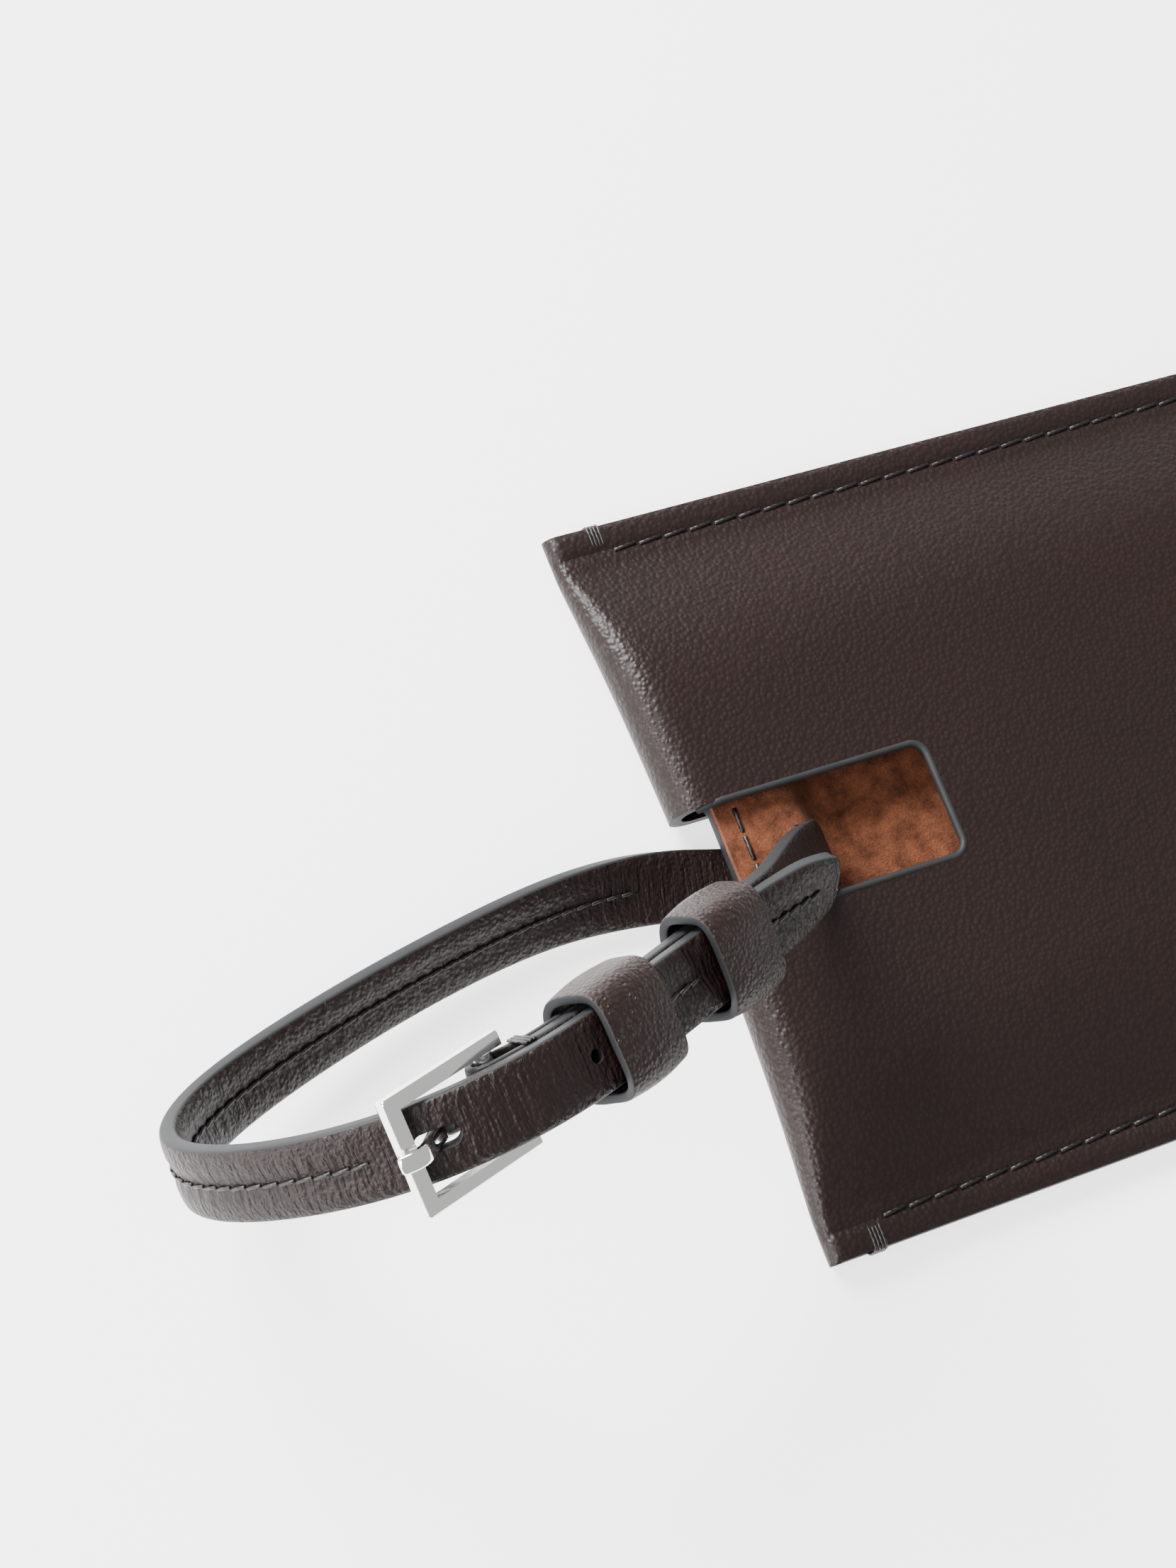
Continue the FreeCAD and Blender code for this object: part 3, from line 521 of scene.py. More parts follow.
def sew(name, stitch, places):
    """One piece of thread made of a copy of stitch at each of places, which are matrices."""
    copies = []
    for place in places:
        copy = stitch.copy()
        copy.data = stitch.data.copy()
        bpy.context.scene.collection.objects.link(copy)
        copy.data.transform(place)
        copies.append(copy)
    deselect()
    for copy in copies:
        copy.select_set(True)
    bpy.context.view_layer.objects.active = copies[0]
    bpy.ops.object.join()
    copies[0].name = name
    return copies[0]


def seam_places(y):
    places = []
    x = 6.0 + STITCH_LENGTH / 2
    while x < TAG_LENGTH - 2.0:
        slant = Matrix.Rotation(math.radians(6), 4, "Z")
        places.append(Matrix.Translation(placed(x, y, 2 * LEATHER - 0.17)) @ slant)
        places.append(Matrix.Translation(placed(x, y, 0.19)) @ slant)
        x += STITCH_PITCH
    return places


seam_stitch = one_stitch("seam_stitch", STITCH_LENGTH, 0.42)
for node, y in (("bottom_seam_thread", SEAM_INSET), ("top_seam_thread", TAG_WIDTH - SEAM_INSET)):
    seam = sew(node.replace("thread", "stitches"), seam_stitch, seam_places(y))
    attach(seam, "tag")
    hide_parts(node)

# The bar stitches: a short row of the same thread that holds the suede to the bar.

BAR_STITCH_X = BAR_START + 1.9
across_bar = Matrix.Rotation(math.pi / 2, 4, "Z")
bar_top = BAR_UNDERSIDE + LEATHER + LINING
bar_stitches = sew("bar_stitches", seam_stitch, [
    Matrix.Translation(placed(BAR_STITCH_X, WINDOW_LOW + 1.2 + 2.7 * i, bar_top)) @ across_bar
    for i in range(4)])
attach(bar_stitches, "tag")
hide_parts("slot_stitch_thread")
bpy.data.objects.remove(seam_stitch)

# The bar-tacks: at both corners of the fold end the thread is wound over the cut edge a few times
# to lock the seam.


def edge_winding(name, x, edge_y, inward):
    """One turn of thread round the two layers of leather at a long edge."""
    deselect()
    bpy.ops.mesh.primitive_torus_add(
        major_segments=20, minor_segments=8, major_radius=1.0, minor_radius=0.16,
        rotation=(0, math.pi / 2, 0))
    turn = bpy.context.object
    turn.name = name
    bpy.ops.object.transform_apply(location=True, rotation=True, scale=True)
    middle = placed(x, edge_y + inward * 1.05, LEATHER)
    for vertex in turn.data.vertices:
        spread = Vector((vertex.co.y, vertex.co.z))
        ring = spread.normalized()
        square = (abs(ring.x) ** 4 + abs(ring.y) ** 4) ** -0.25
        out = spread.length - 1.0
        vertex.co = middle + Vector((vertex.co.x * MM,
                                     (ring.x * square * 1.2 + ring.x * out) * MM,
                                     (ring.y * square * 1.12 + ring.y * out) * MM))
    turn.data.materials.append(sewing_thread)
    return turn


windings = []
for edge_y, inward in ((0.0, 1), (TAG_WIDTH, -1)):
    windings += [edge_winding("winding", 4.2 + 0.34 * i, edge_y, inward) for i in range(4)]
deselect()
for turn in windings:
    turn.select_set(True)
bpy.context.view_layer.objects.active = windings[0]
bpy.ops.object.join()
corner_tacks = windings[0]
corner_tacks.name = "corner_tacks"
soften(corner_tacks, 60)
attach(corner_tacks, "tag")
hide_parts("corner_bartacks")

# The strap: two plies of the cover's leather, glued and sewn down the middle, with grey painted
# edges.  It lies under the bar, loops out over the table and back, and ends in a blunt tip; the
# buckle end lies under the tip end and dives through the slot to the same bar.

STRAP_WIDTH = 6.4
PLY = 0.85
PLY_GAP = 0.15
SLOT_BEND = 1.45
SLOT_Y = WINDOW_LOW + 4.0
CENTRE_HEIGHT = PLY + 0.1
FRONT_BAR_PLACE = 94.2
HOLE_PLACE = 96.5
PIVOT_PLACE = 102.6
SPARE_HOLE_PLACE = 110.2
FIXED_KEEPER_PLACE = 114.7
LOOSE_KEEPER_PLACE = 128.8
LOOP = [
    ((BAR_END, SLOT_Y, CENTRE_HEIGHT), (0, 1, 0)),
    ((8.5, SLOT_Y, CENTRE_HEIGHT), (0, 1, 0)),
    ((4.0, SLOT_Y + 0.7, CENTRE_HEIGHT), (0, 1, 0)),
    ((-1.5, 36.2, 2.1), (0.1, 0.95, 0.3)),
    ((-12.0, 37.0, 3.3), (0.0, 0.7, 0.7)),
    ((-25.0, 35.0, 3.5), (-0.1, 0.65, 0.75)),
    ((-36.0, 32.5, 4.0), (-0.1, 0.7, 0.7)),
    ((-49.0, 28.5, 5.5), (-0.1, 0.8, 0.6)),
    ((-55.0, 22.5, 14.5), (-0.15, 0.85, 0.45)),
    ((-48.0, 18.0, 25.5), (-0.2, 0.85, 0.5)),
    ((-38.5, 16.5, 31.5), (-0.15, 0.9, 0.4)),
    ((-26.5, 18.0, 33.0), (-0.15, 0.9, 0.35)),
    ((-15.5, 22.0, 28.5), (-0.2, 0.9, 0.35)),
    ((-5.0, 25.5, 24.0), (-0.1, 0.9, 0.45)),
    ((1.8, 27.8, 21.8), (0.0, 0.75, 0.65)),
    ((5.0, 28.6, 20.4), (0.05, 0.6, 0.8)),
]


def smooth_line(points, count):
    """Evenly spread values of a clamped cubic B-spline that is steered by points."""
    poles = np.array(points, float)
    spans = len(poles) - 3
    knots = np.concatenate([[0.0] * 3, np.linspace(0.0, 1.0, spans + 1), [1.0] * 3])
    places = np.linspace(0.0, 1.0, count)
    span = np.clip(np.searchsorted(knots, places, side="right") - 1, 3, len(poles) - 1)
    values = [poles[span - 3 + j] for j in range(4)]
    for level in range(1, 4):
        for j in range(3, level - 1, -1):
            low = knots[span - 3 + j]
            high = knots[span + 1 + j - level]
            share = ((places - low) / (high - low))[:, None]
            values[j] = (1 - share) * values[j - 1] + share * values[j]
    return values[3]


class Route:
    """A line with a width direction at each point, read by the distance along it."""

    def __init__(self, centres, widths):
        self.centres = centres
        self.widths = widths
        steps = np.linalg.norm(np.diff(centres, axis=0), axis=1)
        self.travelled = np.concatenate([[0.0], np.cumsum(steps)])
        self.length = self.travelled[-1]

    def read(self, table, distance):
        return np.array([np.interp(distance, self.travelled, table[:, axis]) for axis in range(3)])

    def at(self, distance, shift=0.0):
        """The centre, run, width and outward directions; shift moves the centre outwards."""
        distance = min(max(distance, 0.0), self.length)
        ahead = self.read(self.centres, min(distance + 0.2, self.length))
        behind = self.read(self.centres, max(distance - 0.2, 0.0))
        run = (ahead - behind) / np.linalg.norm(ahead - behind)
        width = self.read(self.widths, distance)
        width = width - run * run.dot(width)
        width = width / np.linalg.norm(width)
        out = np.cross(run, width)
        return self.read(self.centres, distance) + out * shift, run, width, out


def station_point(station, across, outward, forward=0.0):
    centre, run, width, out = station
    return placed(*(centre + width * across + out * outward + run * forward))


def station_matrix(station, across=0.0, outward=0.0, forward=0.0):
    """A matrix with X along the strap, Y across it and Z out of its face."""
    centre, run, width, out = station
    turn = Matrix([[run[i], width[i], out[i]] for i in range(3)]).to_4x4()
    return Matrix.Translation(station_point(station, across, outward, forward)) @ turn


loop = Route(smooth_line([point for point, width in LOOP], 2400),
             smooth_line([width for point, width in LOOP], 2400))
UNDER = -(2 * PLY + PLY_GAP)
LEAVE = LOOSE_KEEPER_PLACE + 3.5 + 1.5
SLOT_X = BAR_END + SLOT_BEND
BEND_Z = CENTRE_HEIGHT + SLOT_BEND
under_tip = [loop.at(PIVOT_PLACE + (LEAVE - PIVOT_PLACE) * i / 6, UNDER) for i in range(7)]
DIVE = [
    ((-0.2, 28.4, 18.6), (0.0, 0.85, 0.5)),
    ((4.0, 30.6, 13.6), (0.0, 0.9, 0.4)),
    ((8.0, 32.6, 9.4), (0.0, 0.95, 0.25)),
    ((11.0, 33.6, 6.6), (0.0, 1.0, 0.1)),
    ((SLOT_X - 0.15, SLOT_Y, 5.2), (0, 1, 0)),
    ((SLOT_X, SLOT_Y, BEND_Z + 1.4), (0, 1, 0)),
    ((SLOT_X, SLOT_Y, BEND_Z), (0, 1, 0)),
]
dive_centres = smooth_line([s[0] for s in under_tip] + [point for point, width in DIVE], 900)
dive_widths = smooth_line([s[2] for s in under_tip] + [width for point, width in DIVE], 900)
turns = np.radians(np.linspace(5, 85, 17))
bend_centres = np.array([(BAR_END + SLOT_BEND * math.cos(a), SLOT_Y, BEND_Z - SLOT_BEND * math.sin(a))
                         for a in turns])
bend_widths = np.array([(0.0, 1.0, 0.0)] * len(turns))
strap_route = Route(np.concatenate([dive_centres, bend_centres, loop.centres]),
                    np.concatenate([dive_widths, bend_widths, loop.widths]))
LOOP_START = strap_route.length - loop.length
INNER_START = 3.2
STITCH_END_PLACE = 91.2
STRAP_STITCH_PITCH = 1.5


def stitched_share(place):
    """1 where the strap is sewn along its middle, 0 where it isn't; place counts along the loop."""
    in_loop = smoothstep(14.5, 17.0, place)
    in_loop *= 1.0 - smoothstep(STITCH_END_PLACE, STITCH_END_PLACE + 1, place)
    near_tip = smoothstep(119.0, 120.0, place) * (1.0 - smoothstep(141.0, 142.5, place))
    return max(in_loop, near_tip)


def strap_section(turn, half_width, pulled):
    """A point of the rounded section: across and outward, for a turn of 0 to 1."""
    angle = 2 * math.pi * turn
    c, s = math.cos(angle), math.sin(angle)
    across = half_width * math.copysign(abs(c) ** 0.45, c)
    outward = PLY * math.copysign(abs(s) ** 0.36, s)
    outward *= 1.0 - pulled * math.exp(-(across / (0.45 + 0.6 * pulled)) ** 2)
    glue_line = 0.07 * math.exp(-(outward / 0.12) ** 2)
    return across * (1.0 - glue_line / half_width), outward


def strap_shape(along, turn):
    distance = INNER_START + (strap_route.length - INNER_START) * along
    place = distance - LOOP_START
    left = strap_route.length - distance
    share = min(left / 5.0, 1.0)
    half_width = 2.5 + 0.7 * share * (2.0 - share)
    end = min(left, distance - INNER_START)
    if end < 0.5:
        half_width -= 0.35 * (1.0 - end / 0.5) ** 2
    wave = 0.5 + 0.5 * math.cos(2 * math.pi * (place - 17.0) / STRAP_STITCH_PITCH)
    pulled = stitched_share(place) * (0.24 + 0.16 * wave)
    across, outward = strap_section(turn, half_width, pulled)
    buckled = 0.10 * math.sin(place * 1.9 + across) * math.exp(-((place - 123.5) / 3.5) ** 2)
    return station_point(strap_route.at(distance), across, outward + buckled * (abs(across) < 2.9))


def make_strap_leather():
    """The cover's leather, with fine creases across the strap where it bends."""
    material = grained_leather(
        "strap_leather", (0.0072, 0.0036, 0.0032), (0.0190, 0.0098, 0.0087), 0.40, 0.34, 0.10)
    tree = material.node_tree
    shader = tree.nodes["Principled BSDF"]
    first_bump = shader.inputs["Normal"].links[0].from_node
    lengthwise = new_node(tree, "ShaderNodeUVMap")
    stretch = new_node(tree, "ShaderNodeMapping")
    stretch.inputs["Scale"].default_value = (330.0, 9.0, 1.0)
    creases = new_node(tree, "ShaderNodeTexNoise")
    creases.inputs["Scale"].default_value = 1.0
    creases.inputs["Detail"].default_value = 4.0
    creases.inputs["Distortion"].default_value = 0.6
    folded = new_node(tree, "ShaderNodeBump")
    folded.inputs["Strength"].default_value = 0.9
    folded.inputs["Distance"].default_value = 0.30 * MM
    tree.links.new(lengthwise.outputs["UV"], stretch.inputs["Vector"])
    tree.links.new(stretch.outputs["Vector"], creases.inputs["Vector"])
    tree.links.new(creases.outputs["Fac"], folded.inputs["Height"])
    tree.links.new(first_bump.outputs["Normal"], folded.inputs["Normal"])
    tree.links.new(folded.outputs["Normal"], shader.inputs["Normal"])
    return material


strap_leather = make_strap_leather()
strap_edge_paint = edge_paint("strap_edge_paint", (0.016, 0.0168, 0.018))


def closed_strip(name, steps_along, steps_round, shape, edge_half_width):
    """A solid strip from a grid wrapped round its section, closed at both ends."""
    strip = formed_sheet(name, steps_along, steps_round, shape)
    strip.data.materials.append(strap_leather)
    strip.data.materials.append(strap_edge_paint)
    for face in strip.data.polygons:
        turn = (face.index // steps_along + 0.5) / steps_round
        face.material_index = int(abs(math.cos(2 * math.pi * turn)) ** 0.45 > edge_half_width)
    pick(strip)
    bpy.ops.object.mode_set(mode="EDIT")
    bpy.ops.mesh.select_all(action="SELECT")
    bpy.ops.mesh.remove_doubles(threshold=0.000004)
    bpy.ops.mesh.select_mode(type="EDGE")
    bpy.ops.mesh.select_all(action="DESELECT")
    bpy.ops.mesh.select_non_manifold()
    bpy.ops.mesh.edge_face_add()
    bpy.ops.mesh.select_all(action="SELECT")
    bpy.ops.mesh.normals_make_consistent(inside=False)
    bpy.ops.object.mode_set(mode="OBJECT")
    for face in strip.data.polygons:
        if len(face.vertices) > 4:
            face.material_index = 1
    return strip


strap = closed_strip("strap", 520, 40, strap_shape, 0.955)


def punch(piece, distance, length, width):
    """A round-ended hole through the strap, its length along the strap."""
    deselect()
    bpy.ops.mesh.primitive_cylinder_add(vertices=24, radius=width / 2 * MM, depth=2.0 * MM)
    cutter = bpy.context.object
    for vertex in cutter.data.vertices:
        vertex.co.x += math.copysign((length - width) / 2 * MM, vertex.co.x)
    cutter.data.transform(station_matrix(loop.at(distance)))
    cutter.data.materials.append(strap_leather)
    cutter.data.materials.append(strap_edge_paint)
    for face in cutter.data.polygons:
        face.material_index = 1
    cut_out(piece, cutter)


punch(strap, HOLE_PLACE, 3.8, 1.8)
punch(strap, SPARE_HOLE_PLACE, 1.2, 1.2)
soften(strap, 50)
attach(strap, "strap")
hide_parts("strap_outer_ply", "strap_inner_ply")

# The window's rim: the thick, rounded and painted cut edge of the front panel round the window.

RIM_RADIUS = 0.36
CORNER = 1.5
rim_line = [(x, WINDOW_LOW) for x in np.linspace(3.0, WINDOW_LENGTH - CORNER, 60)]
for centre_y, first in ((WINDOW_LOW + CORNER, -90), (WINDOW_HIGH - CORNER, 0)):
    for turn in range(0, 91, 9):
        angle = math.radians(first + turn)
        rim_line.append((WINDOW_LENGTH - CORNER + CORNER * math.cos(angle),
                         centre_y + CORNER * math.sin(angle)))
rim_line += [(x, WINDOW_HIGH) for x in np.linspace(WINDOW_LENGTH - CORNER, 3.0, 60)][1:]
rim_heights = [panel_height(y) - 0.22 - 1.6 * (1.0 - smoothstep(2.2, 5.5, x)) ** 2 for x, y in rim_line]
rim_route = Route(np.array([(x, y, z) for (x, y), z in zip(rim_line, rim_heights)]),
                  np.array([(0.0, 0.0, 1.0)] * len(rim_line)))


def rim_shape(along, turn):
    angle = 2 * math.pi * turn
    station = rim_route.at(rim_route.length * along)
    return station_point(station, RIM_RADIUS * math.cos(angle), RIM_RADIUS * math.sin(angle))


window_rim = closed_strip("window_rim", 260, 12, rim_shape, 2.0)
window_rim.data.materials.clear()
window_rim.data.materials.append(cover_edge_paint)
for face in window_rim.data.polygons:
    face.material_index = 0
soften(window_rim, 60)
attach(window_rim, "tag")
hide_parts("outer_cover")

# The turn-back: the outer ply alone goes round the buckle's pivot bar and lies under the buckle
# end, where a bar-tack of thread holds it.

PIVOT_RADIUS = 0.8
PIVOT_GAP = 0.08
TURNBACK_LENGTH = 12.0
PIVOT_DEPTH = UNDER - PIVOT_GAP - PIVOT_RADIUS
WRAP_RADIUS = PIVOT_RADIUS + PIVOT_GAP + PLY / 2
FLAT_DEPTH = UNDER - 1.5 * PLY - 0.25
pivot_station = loop.at(PIVOT_PLACE)


def turn_back_centres():
    """The middle of the turned-back ply, from its free end to where it joins the inner ply."""
    centres = []
    for i in range(24):
        distance = TURNBACK_LENGTH * (1.0 - i / 24)
        low = PIVOT_DEPTH - WRAP_RADIUS
        depth = low + (FLAT_DEPTH - low) * smoothstep(0.0, 5.0, distance)
        centres.append(loop.at(PIVOT_PLACE + distance, depth)[0])
    centre, run, width, out = pivot_station
    for i in range(25):
        angle = math.pi * i / 24
        around = out * (PIVOT_DEPTH - WRAP_RADIUS * math.cos(angle)) - run * WRAP_RADIUS * math.sin(angle)
        centres.append(centre + around)
    for i in range(1, 9):
        centres.append(loop.at(PIVOT_PLACE + 0.55 * i, UNDER + PLY / 2)[0])
    return np.array(centres)


wrap_centres = turn_back_centres()
wrap_route = Route(wrap_centres, np.array([pivot_station[2]] * len(wrap_centres)))


def turn_back_shape(along, turn):
    distance = wrap_route.length * along
    angle = 2 * math.pi * turn
    c, s = math.cos(angle), math.sin(angle)
    across = STRAP_WIDTH / 2 * math.copysign(abs(c) ** 0.4, c)
    outward = PLY / 2 * math.copysign(abs(s) ** 0.5, s)
    return station_point(wrap_route.at(distance), across, outward)


turn_back = closed_strip("strap_turn_back", 90, 32, turn_back_shape, 0.962)
deselect()
bpy.ops.mesh.primitive_cube_add(size=1)
tongue_opening = bpy.context.object
for vertex in tongue_opening.data.vertices:
    vertex.co = Vector((vertex.co.x * 4.4, vertex.co.y * 1.9, vertex.co.z * 4.4))
    vertex.co = (vertex.co + Vector((-0.2, 0.0, PIVOT_DEPTH - 0.2))) * MM
tongue_opening.data.transform(station_matrix(pivot_station))
tongue_opening.data.materials.append(strap_leather)
cut_out(turn_back, tongue_opening)
soften(turn_back, 50)
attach(turn_back, "strap")
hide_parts("strap_outer_ply")

# The strap's stitches: fine dark thread down the middle of the loop, on both faces, and again near
# the tip, sunk in the line that it pulls into the leather.


def strap_stitch_places(first, last, faces):
    places = []
    place = first
    while place <= last:
        for face in faces:
            flip = Matrix.Rotation(0 if face > 0 else math.pi, 4, "X")
            slant = Matrix.Rotation(math.radians(7), 4, "Z")
            places.append(station_matrix(loop.at(place), 0.0, face * (PLY - 0.14)) @ flip @ slant)
        place += STRAP_STITCH_PITCH
    return places


strap_stitch = one_stitch("strap_stitch", 1.35, 0.34)
loop_thread = sew("loop_stitches", strap_stitch, strap_stitch_places(17.0, STITCH_END_PLACE, (1, -1)))
tip_places = strap_stitch_places(119.9, 123.9, (1,))
tip_places += strap_stitch_places(133.8, loop.length - 2.5, (1,))
tip_thread = sew("tip_stitches", strap_stitch, tip_places)
bpy.data.objects.remove(strap_stitch)
for piece, node in ((loop_thread, "strap_thread"), (tip_thread, "tip_thread")):
    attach(piece, "strap")
    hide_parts(node)

# The buckle end's bar-tack: a few turns of thread over both edges of the three plies.

CHAPE_TACK_PLACE = 106.4
tack_stitch = one_stitch("tack_stitch", 2 * PLY + PLY + 0.5, 0.34)
upright = Matrix.Rotation(math.pi / 2, 4, "Y")
tack_depth = (UNDER + PLY + FLAT_DEPTH - PLY / 2) / 2
chape_tack = sew("chape_tack", tack_stitch, [
    station_matrix(loop.at(CHAPE_TACK_PLACE + 0.4 * i), side * (STRAP_WIDTH / 2 + 0.08), tack_depth) @ upright
    for side in (-1, 1) for i in range(-1, 2)])
bpy.data.objects.remove(tack_stitch)
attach(chape_tack, "strap")
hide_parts("chape_bartack_thread")

# The keepers: two loops of thinner leather round the strap.  One is fixed near the buckle and one
# slides, and both are soft, slightly puffed rings with painted edges and pin-prick pores.

KEEPER_WIDTH = 7.0
KEEPER_WALL = 0.8
KEEPER_SIDE_GAP = 0.7
KEEPER_TOP_GAP = 0.6
KEEPER_ROUND = 2.2
KEEPER_SQUARENESS = 3.6


def make_keeper_leather():
    material = grained_leather(
        "keeper_leather", (0.0105, 0.0052, 0.0045), (0.0290, 0.0150, 0.0130), 0.38, 0.38, 0.11)
    tree = material.node_tree
    shader = tree.nodes["Principled BSDF"]
    first_bump = shader.inputs["Normal"].links[0].from_node
    place = new_node(tree, "ShaderNodeTexCoord")
    pores = new_node(tree, "ShaderNodeTexVoronoi", feature="F1")
    pores.inputs["Scale"].default_value = 1500.0
    pores.inputs["Randomness"].default_value = 0.6
    pricks = new_node(tree, "ShaderNodeMapRange")
    pricks.inputs["From Min"].default_value = 0.12
    pricks.inputs["From Max"].default_value = 0.26
    pitted = new_node(tree, "ShaderNodeBump")
    pitted.inputs["Strength"].default_value = 0.8
    pitted.inputs["Distance"].default_value = 0.12 * MM
    tree.links.new(place.outputs["Object"], pores.inputs["Vector"])
    tree.links.new(pores.outputs["Distance"], pricks.inputs["Value"])
    tree.links.new(pricks.outputs["Result"], pitted.inputs["Height"])
    tree.links.new(first_bump.outputs["Normal"], pitted.inputs["Normal"])
    tree.links.new(pitted.outputs["Normal"], shader.inputs["Normal"])
    return material


keeper_leather = make_keeper_leather()


def make_keeper(name, node, body, place, layers_below):
    """A ring round the strap's tip end and what lies under it, layers_below deep."""
    half_width = STRAP_WIDTH / 2 + KEEPER_SIDE_GAP + KEEPER_WALL
    top = PLY + KEEPER_TOP_GAP + KEEPER_WALL
    bottom = -(PLY + layers_below + KEEPER_TOP_GAP + KEEPER_WALL)
    half_height = (top - bottom) / 2
    middle = (top + bottom) / 2
    station = loop.at(place)
    straight_across = half_width - KEEPER_ROUND
    straight_up = half_height - KEEPER_ROUND

    def ring_shape(along, turn):
        angle = 2 * math.pi * turn
        c, s = math.cos(angle), math.sin(angle)
        square = (abs(c) ** KEEPER_SQUARENESS + abs(s) ** KEEPER_SQUARENESS) ** (-1 / KEEPER_SQUARENESS)
        puff = 0.26 * math.sin(math.pi * along) - 0.06
        across = c * square * (straight_across + KEEPER_ROUND + puff)
        outward = s * square * (straight_up + KEEPER_ROUND + puff)
        lean = 0.18 * math.sin(angle * 2 + place)
        return station_point(station, across, middle + outward, (along - 0.5) * KEEPER_WIDTH + lean)

    ring = formed_sheet(name, 24, 96, ring_shape)
    ring.data.materials.append(keeper_leather)
    ring.data.materials.append(strap_edge_paint)
    face_outwards(ring)
    first = ring.data.polygons[0]
    if first.normal.dot(first.center - station_point(station, 0.0, middle)) < 0:
        ring.data.flip_normals()
    apply_modifier(ring, "wall", "SOLIDIFY", thickness=KEEPER_WALL * MM, offset=-1.0,
                   use_rim=True, material_offset_rim=1)
    apply_modifier(ring, "rounding", "BEVEL", width=0.14 * MM, segments=2, limit_method="ANGLE",
                   angle_limit=math.radians(50))
    soften(ring, 50)
    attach(ring, body)
    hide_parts(node)
    return ring


make_keeper("fixed_keeper", "keeper_fixed", "strap", FIXED_KEEPER_PLACE, 2 * PLY + PLY_GAP + PLY + 0.05)
make_keeper("loose_keeper", "keeper_sliding", "loose_keeper", LOOSE_KEEPER_PLACE, 2 * PLY + PLY_GAP)

# The buckle: a small square frame of polished chromed metal, with its pivot bar across the two arms.


def polished_metal(name, colour):
    """Chrome plate with faint smears that show only in its gloss."""
    material = bpy.data.materials.new(name)
    material.use_nodes = True
    tree = material.node_tree
    shader = tree.nodes["Principled BSDF"]
    place = new_node(tree, "ShaderNodeTexCoord")
    smears = new_node(tree, "ShaderNodeTexNoise")
    smears.inputs["Scale"].default_value = 260.0
    smears.inputs["Detail"].default_value = 6.0
    polish = new_node(tree, "ShaderNodeMapRange")
    polish.inputs["From Min"].default_value = 0.35
    polish.inputs["From Max"].default_value = 0.75
    polish.inputs["To Min"].default_value = 0.07
    polish.inputs["To Max"].default_value = 0.19
    tint = new_node(tree, "ShaderNodeMix", data_type="RGBA")
    tint.inputs["A"].default_value = (*colour, 1)
    tint.inputs["B"].default_value = (*[0.93 * part for part in colour], 1)
    tree.links.new(place.outputs["Object"], smears.inputs["Vector"])
    tree.links.new(smears.outputs["Fac"], polish.inputs["Value"])
    tree.links.new(smears.outputs["Fac"], tint.inputs["Factor"])
    tree.links.new(polish.outputs["Result"], shader.inputs["Roughness"])
    tree.links.new(tint.outputs["Result"], shader.inputs["Base Color"])
    shader.inputs["Metallic"].default_value = 1.0
    return material


buckle_chrome = polished_metal("buckle_chrome", (1.0, 0.99, 0.98))
for node in ("buckle_frame", "buckle_pivot_bar"):
    metal_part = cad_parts[node]
    metal_part.data.materials.clear()
    metal_part.data.materials.append(buckle_chrome)

# The tongue: a bent rod of the same chromed metal, with a blunt tip over the front bar and an eye
# that turns on the pivot bar.  It is a little wider than its CAD piece, by TONGUE_EXTRA each side.

TONGUE_WIDTH = 1.2
TONGUE_THICKNESS = 0.9
TONGUE_EXTRA = 0.15
BUCKLE_THICKNESS = 1.3
BAR_REST_GAP = 0.5
TONGUE_REST_GAP = 0.35
REACH_DEPTH = PLY + BAR_REST_GAP + BUCKLE_THICKNESS / 2
TOP_DEPTH = REACH_DEPTH + BUCKLE_THICKNESS / 2 + TONGUE_REST_GAP + TONGUE_THICKNESS / 2
TONGUE_LINE = [
    (PIVOT_PLACE - 0.9, PIVOT_DEPTH + 0.8), (HOLE_PLACE + 1.7, PIVOT_DEPTH + 0.8), (HOLE_PLACE + 0.4, -1.25),
    (HOLE_PLACE - 0.4, 0.3), (HOLE_PLACE - 0.65, 1.8), (FRONT_BAR_PLACE + 1.15, TOP_DEPTH - 0.35),
    (FRONT_BAR_PLACE + 0.3, TOP_DEPTH), (FRONT_BAR_PLACE - 0.5, TOP_DEPTH),
]
pivot_point = pivot_station[0] + pivot_station[3] * PIVOT_DEPTH
pivot_width = pivot_station[2]


def tongue_centres():
    flat = []
    for place, depth in TONGUE_LINE:
        centre = loop.at(place, depth)[0]
        flat.append(centre - pivot_width * pivot_width.dot(centre - pivot_point))
    return smooth_line([flat[0]] + flat + [flat[-1]], 200)


tongue_path = tongue_centres()
tongue_route = Route(tongue_path, np.array([pivot_width] * len(tongue_path)))


def tongue_shape(along, turn):
    angle = 2 * math.pi * turn
    end = min((1.0 - along) * tongue_route.length / 0.35, 1.0)
    rounded = math.sqrt(max(1.0 - (1.0 - end) ** 2, 0.0)) * 0.25 + 0.75
    c, s = math.cos(angle), math.sin(angle)
    across = (TONGUE_WIDTH / 2 + TONGUE_EXTRA) * math.copysign(abs(c) ** 0.5, c) * rounded
    outward = TONGUE_THICKNESS / 2 * math.copysign(abs(s) ** 0.5, s) * rounded
    return station_point(tongue_route.at(tongue_route.length * along), across, outward)


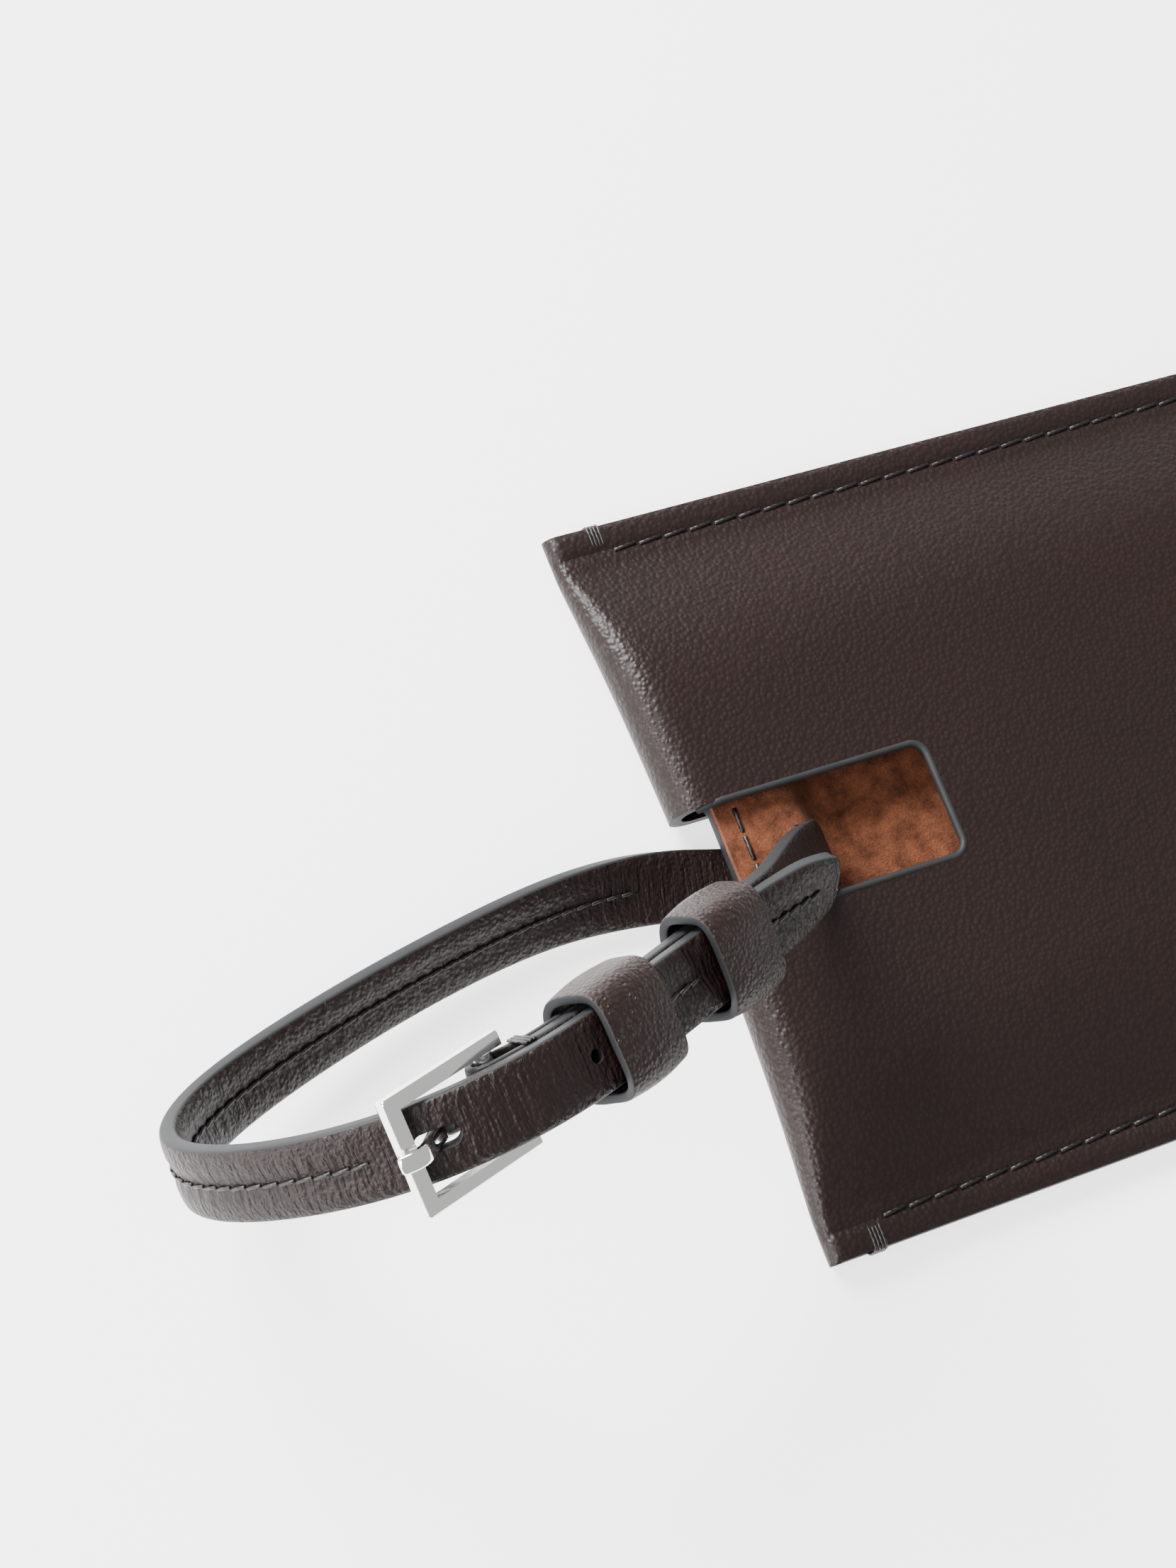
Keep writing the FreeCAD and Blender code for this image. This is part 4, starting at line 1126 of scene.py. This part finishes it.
tongue = closed_strip("tongue_rod", 90, 20, tongue_shape, 2.0)
deselect()
bpy.ops.mesh.primitive_torus_add(major_segments=32, minor_segments=12, major_radius=1.15 * MM,
                                 minor_radius=0.3 * MM, rotation=(math.pi / 2, 0, 0))
eye = bpy.context.object
bpy.ops.object.transform_apply(location=True, rotation=True, scale=True)
for vertex in eye.data.vertices:
    vertex.co.y *= 2.0
eye.data.transform(station_matrix(pivot_station, 0.0, PIVOT_DEPTH))
deselect()
eye.select_set(True)
tongue.select_set(True)
bpy.context.view_layer.objects.active = tongue
bpy.ops.object.join()
tongue.data.materials.clear()
tongue.data.materials.append(buckle_chrome)
for face in tongue.data.polygons:
    face.material_index = 0
soften(tongue, 60)
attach(tongue, "tongue")
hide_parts("buckle_tongue")

# The stage: a plain pale table that glows faintly, so that it stays pale round a dark object, soft
# studio light from behind and from the left, and the camera.

deselect()
bpy.ops.mesh.primitive_grid_add(x_subdivisions=8, y_subdivisions=8, size=6.0, location=(0, 0, -0.05 * MM))
table_top = bpy.context.object
table_top.name = "table_top"
pale = bpy.data.materials.new("pale_table")
pale.use_nodes = True
pale_shader = pale.node_tree.nodes["Principled BSDF"]
pale_shader.inputs["Base Color"].default_value = (0.86, 0.86, 0.86, 1)
pale_shader.inputs["Roughness"].default_value = 0.9
pale_shader.inputs["Emission Color"].default_value = (1.0, 1.0, 1.0, 1)
pale_shader.inputs["Emission Strength"].default_value = 1.9
table_top.data.materials.append(pale)

studio = bpy.data.worlds.new("studio")
studio.use_nodes = True
studio.node_tree.nodes["Background"].inputs["Color"].default_value = (1.0, 1.0, 1.0, 1)
studio.node_tree.nodes["Background"].inputs["Strength"].default_value = 0.6
bpy.context.scene.world = studio


def soft_box(name, place, aim, width, height, power):
    """A rectangular area light at place that faces aim."""
    lamp = bpy.data.lights.new(name, "AREA")
    lamp.shape = "RECTANGLE"
    lamp.size = width
    lamp.size_y = height
    lamp.energy = power
    holder = bpy.data.objects.new(name, lamp)
    bpy.context.scene.collection.objects.link(holder)
    holder.location = place
    holder.rotation_euler = (Vector(aim) - Vector(place)).to_track_quat("-Z", "Y").to_euler()


soft_box("back_box", (-0.40, 0.60, 0.46), (-0.02, 0.0, 0.0), 0.45, 0.35, 26.0)
soft_box("left_box", (-0.65, -0.15, 0.35), (-0.05, 0.0, 0.01), 0.45, 0.5, 9.0)

camera = bpy.data.objects.new("camera", bpy.data.cameras.new("camera"))
bpy.context.scene.collection.objects.link(camera)
back = Vector((-0.355, -0.228, 0.907)).normalized()
up = Vector((0.265, 0.906, 0.331))
up = (up - back * back.dot(up)).normalized()
right = up.cross(back)
camera.matrix_world = Matrix.Translation(placed(-102.81, -16.05, 252.56)) @ Matrix(
    (right, up, back)).transposed().to_4x4()
camera.data.sensor_fit = "AUTO"
camera.data.sensor_width = 36.0
camera.data.lens = 71.61
camera.data.clip_start = 0.01
camera.data.clip_end = 20.0
bpy.context.scene.camera = camera
